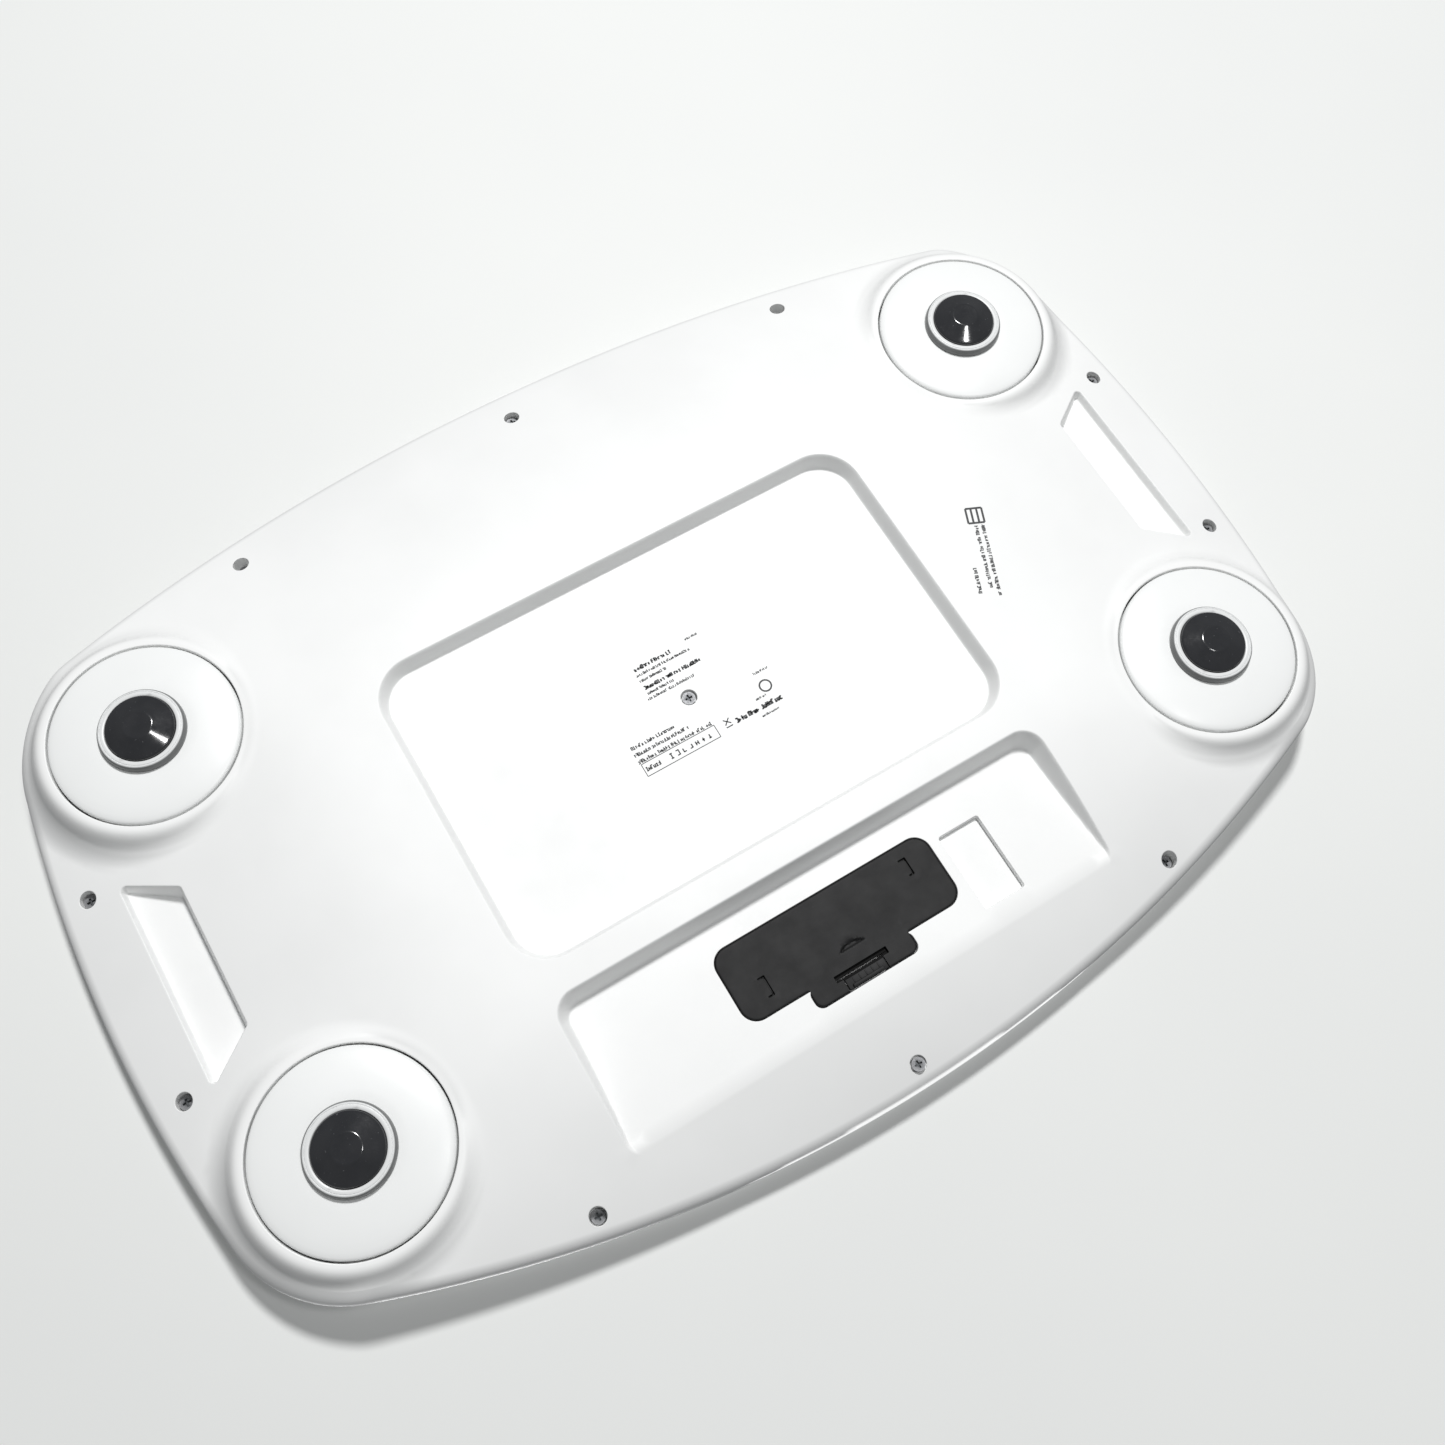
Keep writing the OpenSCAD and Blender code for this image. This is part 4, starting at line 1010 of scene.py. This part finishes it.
RIB_SECTION = [(-1.5, -0.1), (1.5, -0.1), (1.15, RIB_H * 0.6), (0.6, RIB_H), (-0.6, RIB_H),
               (-1.15, RIB_H * 0.6)]
rib_verts, rib_faces = [], []
scan = np.arange(-285, 286, 1.0)
for y in np.arange(-29, 30) * RIB_PITCH:
    inside = np.flatnonzero(mat_distance(scan, np.full(scan.shape, y)) < -RIB_MARGIN)
    for run in np.split(inside, np.flatnonzero(np.diff(inside) > 1) + 1):
        if len(run) < SHORTEST_RIB:
            continue
        first, n = len(rib_verts), len(RIB_SECTION)
        x0, x1 = scan[run[0]], scan[run[-1]]
        for x, scale in ((x0, RIB_END_SCALE), (x0 + RIB_END, 1), (x1 - RIB_END, 1),
                         (x1, RIB_END_SCALE)):
            rib_verts += [(x, y + dy * scale, MAT_TOP - RIB_H + (dz * scale ** 3 if dz > 0 else dz))
                          for dy, dz in RIB_SECTION]
        rib_faces += [[first + i for i in range(n)][::-1], [first + 3 * n + i for i in range(n)]]
        for a in range(first, first + 3 * n, n):
            rib_faces += [[a + i, a + (i + 1) % n, a + n + (i + 1) % n, a + n + i]
                          for i in range(n)]
ribs = new_object("platform_mat_ribs", rib_verts, rib_faces, MAT_GREY, 50)
stands_for(ribs, "housing", "platform_mat")


def bezel_top(x, y):
    outer, inner = -BEZEL.distance(x, y), WINDOW.distance(x, y)
    return bezel_hi[2] - rounding(outer, BEZEL_EDGE_R) - rounding(inner, WINDOW_EDGE_R)


def bezel_keep(x, y):
    return (BEZEL.distance(x, y) < 0) & (WINDOW.distance(x, y) > 0)


bezel_rings = rings_of(BEZEL, (0, -0.05, -0.2, -0.45, -0.9), 1.6)
bezel_rings += rings_of(WINDOW, (0, 0.05, 0.2, 0.4, 0.7), 1.2)
bezel = slab("display_bezel_frame", flat_grid(bezel_rings, BEZEL, 4.0), CHARCOAL,
             level(bezel_lo[2]), bezel_top, bezel_keep)
stands_for(bezel, "housing", "display_bezel")

STEM_R, FLANGE_R, CAP_R, FLANGE_T, FLANGE_DEPTH = 2.2, 8.4, 7, 1.4, 5.3
# the cap's dished top: radius, and depth below the key's highest point
CAP_TOP = [(7, 0.9), (6.9, 0.5), (6.6, 0.15), (6.1, 0), (5.4, 0.1), (3.5, 0.4), (0, 0.55)]
for key, at in KEYS.items():
    (_, _, z0), (_, _, z1) = mm_box(key)
    flange_z = z1 - FLANGE_DEPTH
    profile = [(0, z0), (STEM_R, z0), (STEM_R, flange_z), (FLANGE_R, flange_z),
               (FLANGE_R, flange_z + FLANGE_T), (CAP_R, flange_z + FLANGE_T)]
    profile += [(r, z1 - depth) for r, depth in CAP_TOP]
    stands_for(lathe(key + "_cap", profile, KEY_GREY, at, 64, 35), key, key)

# ---------------- stage, light, camera

CAMERA_AT = (0.13923, -0.19940, -0.58392)
CAMERA_TURN = (-159.1564, 2.8288, -148.8646)   # degrees
LENS, SENSOR = 35.257, 36
TABLE_Z = cad_hi.z + 0.0006
TABLE_HALF, FLOOR_HALF = 3.0, 8.0


def stage_plane(name, z, half, facing, colour, shade):
    """A pale plane that shows on one side only, so that it never hides the object."""
    corners = [(-half, -half, z), (half, -half, z), (half, half, z), (-half, half, z)]
    face = (0, 1, 2, 3) if facing > 0 else (3, 2, 1, 0)
    mat, tree, shader = node_material(name)
    coord = object_coords(tree)
    tone = ramp(tree, noise(tree, coord, 1.9, 5.0), 0, 1, 0.3, 0.7)
    tree.links.new(mixed(tree, tone, colour, shade), shader.inputs["Base Color"])
    shader.inputs["Roughness"].default_value = 0.6
    clear = tree.nodes.new("ShaderNodeBsdfTransparent")
    back = tree.nodes.new("ShaderNodeNewGeometry").outputs["Backfacing"]
    pick = tree.nodes.new("ShaderNodeMixShader")
    tree.links.new(back, pick.inputs["Fac"])
    tree.links.new(shader.outputs["BSDF"], pick.inputs[1])
    tree.links.new(clear.outputs["BSDF"], pick.inputs[2])
    tree.links.new(pick.outputs["Shader"], tree.nodes["Material Output"].inputs["Surface"])
    o = new_object(name, [tuple(c / MM for c in p) for p in corners], [face], mat)
    o.visible_shadow = o.visible_diffuse = o.visible_glossy = o.visible_transmission = False


stage_plane("table", TABLE_Z, TABLE_HALF, -1, (0.83, 0.84, 0.825), (0.79, 0.80, 0.79))
stage_plane("floor", 0.0, FLOOR_HALF, 1, (0.80, 0.80, 0.79), (0.77, 0.77, 0.765))

world = bpy.data.worlds.new("studio")
bpy.context.scene.world = world
world.use_nodes = True
background = world.node_tree.nodes["Background"]
set_inputs(background, {"Color": (0.93, 0.95, 0.96, 1), "Strength": 0.22})

# name, place, height of the point it faces, size, watts
LIGHTS = [("key_below", (-0.55, 0.86, -2.25), 0.02, 0.36, 47),
          ("fill_below", (-0.5, -0.38, -2.25), 0.02, 0.3, 8),
          ("key_above", (-0.9, 0.5, 2.1), 0.03, 1.0, 38),
          ("fill_above", (0.9, -0.8, 2.1), 0.03, 1.4, 15)]
for name, at, target_z, size, power in LIGHTS:
    data = bpy.data.lights.new(name, "AREA")
    data.shape, data.size, data.energy = "DISK", size, power
    light = bpy.data.objects.new(name, data)
    light.location = at
    facing = Vector((0, 0, target_z)) - Vector(at)
    light.rotation_euler = facing.to_track_quat("-Z", "Y").to_euler()
    bpy.context.scene.collection.objects.link(light)

camera = bpy.data.cameras.new("camera")
camera.lens, camera.sensor_width = LENS, SENSOR
camera.clip_start, camera.clip_end = 0.01, 50
camera_object = bpy.data.objects.new("camera", camera)
camera_object.location = CAMERA_AT
camera_object.rotation_euler = Euler([math.radians(a) for a in CAMERA_TURN])
bpy.context.scene.collection.objects.link(camera_object)
bpy.context.scene.camera = camera_object
bpy.context.scene.view_settings.view_transform = "Standard"

# ---------------- CAD nodes that stay

NODE_MATERIALS = {
    "platform_plate": STEEL, "display_window": GLASS, "lcd_panel": LCD, "lcd_holder": INNER,
    "main_board": BOARD, "board_chips": CHIP, "board_screws": ZINC, "key_switches": CHIP,
    "battery_tray": INNER, "contact_springs": NICKEL, "contact_plates": NICKEL,
    "case_screws": ZINC, "centre_screw": ZINC, "cell_screws": ZINC, "battery_leads": LEAD_BLACK}
for i in range(1, 5):
    NODE_MATERIALS["battery_cell_%d" % i] = JACKET
for corner in CORNERS:
    NODE_MATERIALS["cell_leads_" + corner] = LEAD_RED
    NODE_MATERIALS["load_cell_" + corner] = STEEL
    NODE_MATERIALS["cell_cradle_" + corner] = INNER
for node, material in NODE_MATERIALS.items():
    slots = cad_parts[node].data.materials
    if not slots:
        slots.append(material)
    for i in range(len(slots)):
        slots[i] = material
